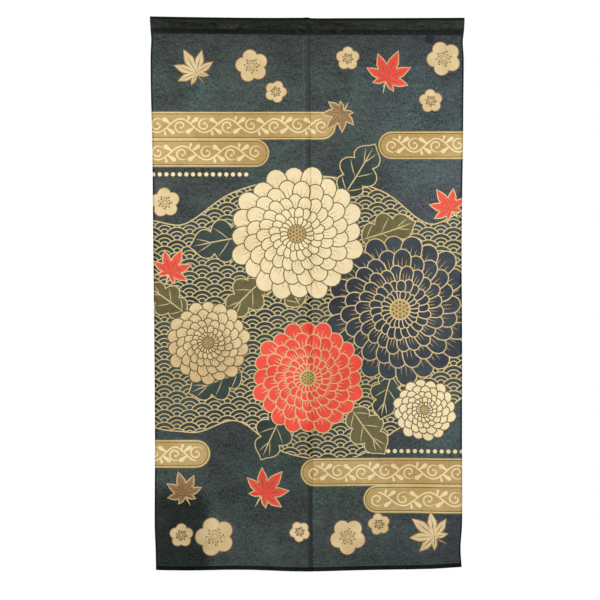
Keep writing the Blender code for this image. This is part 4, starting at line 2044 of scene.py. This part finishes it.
@dataclass
class Stitching:
    """Lines of sewing on a panel: one stitch, modelled once, and its copies along them.

    The lines keep a little way in from each hem's inner fold, the band's two seams, the panel's edges and
    the back of the band.
    """

    form: PanelForm
    thread: bpy.types.Material
    pitch: float = 2.9 * MM
    stitch_length: float = 2.3 * MM
    thread_radius: float = 0.13 * MM
    sunk: float = 0.16 * MM
    lift: float = 0.08 * MM
    uneven: float = 0.08
    in_side_hem: float = 0.9 * MM
    in_foot_hem: float = 1.2 * MM
    in_band: Pair = (2.0 * MM, 1.0 * MM)
    from_edges: float = 1.5 * MM
    from_band: float = 1 * MM

    def model_stitch(self) -> tuple[Array, list[tuple[int, ...]]]:
        """Models one stitch that lies along X, with its ends sunk into the cloth.

        Returns:
            Its points and faces.
        """
        bpy.ops.object.select_all(action="DESELECT")
        turned = (0.0, math.pi / 2, 0.0)
        bpy.ops.mesh.primitive_cylinder_add(
            vertices=5, radius=self.thread_radius, depth=self.stitch_length, rotation=turned
        )
        stitch = bpy.context.object
        bpy.ops.object.transform_apply(location=True, rotation=True, scale=True)
        bpy.ops.object.mode_set(mode="EDIT")
        for place in (-0.3, 0.3):
            bpy.ops.mesh.select_all(action="SELECT")
            cut = (self.stitch_length * place, 0, 0)
            bpy.ops.mesh.bisect(plane_co=cut, plane_no=(1, 0, 0))
        bpy.ops.object.mode_set(mode="OBJECT")
        for vertex in stitch.data.vertices:
            vertex.select = abs(vertex.co.x) > self.stitch_length * 0.4
        bpy.ops.object.mode_set(mode="EDIT")
        bpy.ops.transform.translate(value=(0, 0, -self.sunk))
        bpy.ops.transform.resize(value=(1, 0.7, 0.7), center_override=(0, 0, -self.sunk))
        bpy.ops.object.mode_set(mode="OBJECT")
        points = np.array([tuple(vertex.co) for vertex in stitch.data.vertices])
        faces = [tuple(face.vertices) for face in stitch.data.polygons]
        bpy.data.objects.remove(stitch)
        return points, faces

    def sew(self, name: str, lines: Sequence[StitchLine]) -> bpy.types.Object:
        """Sews along lines of the flat cloth.

        Args:
            name: The piece's name.
            lines: Where the stitches go.

        Returns:
            All the stitches, joined in one piece.
        """
        stitch, faces = self.model_stitch()
        places, along = self._places(lines)
        centre, run, out = self._frames(places, along)
        across = np.cross(out, run)
        points = (
            centre[:, None]
            + run[:, None] * stitch[None, :, 0:1]
            + across[:, None] * stitch[None, :, 1:2]
            + out[:, None] * (stitch[None, :, 2:3] + self.lift)
        )
        firsts = range(0, len(centre) * len(stitch), len(stitch))
        copies = [[first + corner for corner in face] for first in firsts for face in faces]
        obj = add_mesh(name, points.reshape(-1, 3), copies, [self.thread])
        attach(obj, "root")
        return obj

    def _places(self, lines: Sequence[StitchLine]) -> tuple[Array, Array]:
        """Spaces the stitches.

        Args:
            lines: Where the stitches go.

        Returns:
            The middle of each stitch on the flat cloth, and which way it runs there.
        """
        places, along = [], []
        for number, line in enumerate(lines):
            start, end = np.array(line.start), np.array(line.end)
            length = math.hypot(*(end - start))
            many = int(length / self.pitch)
            shifts = self.uneven / many * np.sin(np.arange(many) * 2.1 + number)
            share = (np.arange(many) + 0.5) / many + shifts
            places.append(start + (end - start) * share[:, None])
            along.append(np.tile((end - start) / length, (many, 1)))
        return np.vstack(places), np.vstack(along)

    def _frames(self, places: Array, along: Array) -> tuple[Array, Array, Array]:
        """Hangs the stitches with the cloth.

        Args:
            places: The middle of each stitch on the flat cloth.
            along: Which way each runs there.

        Returns:
            Where each lies on the hung cloth, which way it runs, and which way the cloth faces.
        """
        step = 0.3 * MM
        u, w = places.T
        centre = self.form.hung(u, w)
        ahead = self.form.hung(u + along[:, 0] * step, w + along[:, 1] * step)
        behind = self.form.hung(u - along[:, 0] * step, w - along[:, 1] * step)
        run = unit(ahead - behind)
        wide = self.form.hung(u + step, w) - self.form.hung(u - step, w)
        high = self.form.hung(u, w + step) - self.form.hung(u, w - step)
        out = unit(np.cross(wide, high))
        return centre, run, unit(out - run * np.sum(out * run, axis=1, keepdims=True))

    def side_lines(self) -> list[StitchLine]:
        """Finds the side hems' sewing, on the front and on the back.

        Returns:
            The lines of stitches.
        """
        hem, width = self.form.side_hem, self.form.width
        front = hem.depth - self.in_side_hem
        back = hem.behind(front)
        low, high = -self.form.length + self.from_edges, self.form.sleeve.stops[5] - self.from_band
        places = (front, back, width - front, width - back)
        return [StitchLine((u, low), (u, high)) for u in places]

    def foot_lines(self) -> list[StitchLine]:
        """Finds the foot hem's sewing, on the front and on the back.

        Returns:
            The lines of stitches.
        """
        hem, length = self.form.foot_hem, self.form.length
        front = hem.depth - self.in_foot_hem
        left, right = self.from_edges, self.form.width - self.from_edges
        places = (front - length, hem.behind(front) - length)
        return [StitchLine((left, w), (right, w)) for w in places]

    def heading_lines(self) -> list[StitchLine]:
        """Finds the sewn band's two lines, on the front and on the back.

        Returns:
            The lines of stitches.
        """
        stops = self.form.sleeve.stops
        left, right = self.from_edges, self.form.width - self.from_edges
        low, high = self.in_band
        places = (low, BAND_HEIGHT - high, stops[4] + high, stops[5] - low)
        return [StitchLine((left, w), (right, w)) for w in places]


@dataclass
class Label:
    """The small blank ribbon label: a loop whose two ends are sewn to the back of the band.

    It shows through the cloth from a little above the band's foot down to where the loop turns. Its drop is
    where the panel's edges are read, to find its place on the flat cut.
    """

    left: float = 322 * MM
    right: float = 343 * MM
    length: float = 22 * MM
    sewn: float = 7 * MM
    apart: float = 0.7 * MM
    stand_off: float = 1.15 * MM
    shows_up_to: float = 6 * MM
    shows_down_to: float = -22.4 * MM
    drop: float = 60 * MM
    bend: float = 1.2 * MM
    grid: Pair = (1.5 * MM, 0.9 * MM)

    @property
    def cut(self) -> Pair:
        """Width and length of the flat ribbon."""
        return self.right - self.left, 2 * (self.length + self.sewn)

    def build(self, material: bpy.types.Material) -> bpy.types.Object:
        """Lays the ribbon up, round and up again behind the cloth.

        Args:
            material: The ribbon's finish.

        Returns:
            The label.
        """
        width = self.right - self.left
        across, along = (spread(0, end, pitch) for end, pitch in zip(self.cut, self.grid))
        u = np.tile(across, len(along))
        run = np.repeat(along, len(across))
        flat = np.column_stack([u - width / 2, run])
        points = self._laid(u, run)
        numbers = np.arange(len(flat)).reshape(len(along), len(across))
        corners = (numbers[:-1, :-1], numbers[1:, :-1], numbers[1:, 1:], numbers[:-1, 1:])
        faces = np.stack(corners, axis=-1).reshape(-1, 4)
        piece = Skin(points, faces, flat).piece("label_ribbon", [material])
        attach(piece, "root")
        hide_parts("label")
        return piece

    def _laid(self, u: Array, run: Array) -> Array:
        """Hangs the ribbon, from its nearer end down, round and up.

        Args:
            u: Places across it.
            run: Places along it.

        Returns:
            Rows of X, Y and Z.
        """
        half = self.length + self.sewn
        down = half - np.abs(half - run)
        far = ease((run - half) / self.bend + 0.5)
        x = self.left + u
        foot = HEADING.read(2, x)
        z = foot + self.sewn - down
        lean = 0.5 * MM * np.sin((x - self.left) / (5 * MM)) * ease((foot - z) / (12 * MM))
        belly = 0.6 * MM * ease((foot - z) / (18 * MM)) + lean
        y = self.stand_off + self.apart * (far - 0.5) * (0.6 + 0.9 * ease((foot - z) / (10 * MM))) + belly
        return np.column_stack([x, y, z])


# ---- Studio ----


@dataclass(frozen=True)
class Softbox:
    """A large soft light that shines at the curtain's middle."""

    name: str
    place: Triple
    power: float
    size: float

    def put_up(self, aim: Vector) -> None:
        """Puts the light in the scene, out of the camera's sight.

        Args:
            aim: Where it shines.
        """
        lamp = bpy.data.lights.new(self.name, "AREA")
        lamp.energy = self.power
        lamp.size = self.size
        box = bpy.data.objects.new(self.name, lamp)
        box.location = self.place
        box.rotation_euler = (aim - Vector(self.place)).to_track_quat("-Z", "Y").to_euler()
        box.visible_camera = False
        bpy.context.scene.collection.objects.link(box)


@dataclass(frozen=True)
class Studio:
    """The white room, pale floor, soft lights and camera."""

    aim: Triple = (-0.0194, 0.0, -0.7641)
    distance: float = 5.5
    frame_height: float = 1.6246
    floor_height: float = -1.95
    floor_radius: float = 2.3
    surround: float = 0.52
    softboxes: tuple[Softbox, ...] = (
        Softbox("key_softbox", (-2.3, -3.4, 1.3), 110, 1.6),
        Softbox("fill_softbox", (2.8, -3.2, -0.2), 32, 2.2),
        Softbox("back_softbox", (1.6, 3.6, 1.0), 110, 2.0),
    )

    def build(self) -> None:
        """Sets up everything that isn't the curtain."""
        self._light_room()
        for softbox in self.softboxes:
            softbox.put_up(Vector(self.aim))
        self._lay_floor()
        self._place_camera()

    def _light_room(self) -> None:
        """A room that looks white and lights the cloth evenly from all sides."""
        world = bpy.data.worlds.new("white_room")
        world.use_nodes = True
        nodes, links = world.node_tree.nodes, world.node_tree.links
        background = nodes["Background"]
        background.inputs["Color"].default_value = (1, 1, 1, 1)
        path = nodes.new("ShaderNodeLightPath")
        level = nodes.new("ShaderNodeMapRange")
        level.inputs["To Min"].default_value = self.surround
        level.inputs["To Max"].default_value = 1.0
        links.new(path.outputs["Is Camera Ray"], level.inputs["Value"])
        links.new(level.outputs["Result"], background.inputs["Strength"])
        bpy.context.scene.world = world
        bpy.context.scene.view_settings.view_transform = "Standard"

    def _lay_floor(self) -> None:
        """The plain pale floor, below the curtain."""
        bpy.ops.object.select_all(action="DESELECT")
        centre = (0, 0, self.floor_height)
        bpy.ops.mesh.primitive_circle_add(
            vertices=128, radius=self.floor_radius, fill_type="NGON", location=centre
        )
        floor = bpy.context.object
        floor.name = "floor"
        bpy.ops.object.transform_apply(location=True, rotation=True, scale=True)
        floor.data.materials.append(FloorFinish().material())

    def _place_camera(self) -> None:
        """A long lens straight in front, at the height of the curtain's middle."""
        data = bpy.data.cameras.new("camera")
        data.sensor_width = 36.0
        data.lens = data.sensor_width * self.distance / self.frame_height
        data.clip_end = 60.0
        camera = bpy.data.objects.new("camera", data)
        camera.location = Vector(self.aim) - Vector((0, self.distance, 0))
        camera.rotation_euler = (math.pi / 2, 0, 0)
        bpy.context.scene.collection.objects.link(camera)
        bpy.context.scene.camera = camera


def report(piece: bpy.types.Object) -> None:
    """Logs a finished piece's name and size."""
    sizes = " x ".join(f"{1000 * side:.0f}" for side in piece.dimensions)
    logging.info("%s: %s mm, %d faces", piece.name, sizes, len(piece.data.polygons))


def main() -> None:
    """Builds the curtain's pieces in order and reports each one."""
    logging.basicConfig(level=logging.INFO, format="%(message)s")
    Studio().build()
    artwork = draw_artwork()
    materials = [INKS[ink].material() for ink in Ink]
    thread = ThreadFinish().material()
    label = Label()
    ribbon = label.build(RibbonFinish().material())
    report(ribbon)
    for side in Side:
        name = side.name.lower()
        form = PanelForm(side)
        cloth = Panel(f"{name}_cloth", form, f"{name}_panel", artwork, materials).build()
        report(cloth)
        sewing = Stitching(form, thread)
        seams = [
            sewing.sew(f"{name}_side_stitches", sewing.side_lines()),
            sewing.sew(f"{name}_foot_stitches", sewing.foot_lines()),
            sewing.sew(f"{name}_heading_stitches", sewing.heading_lines()),
        ]
        for seam in seams:
            report(seam)


if __name__ == "__main__":
    main()
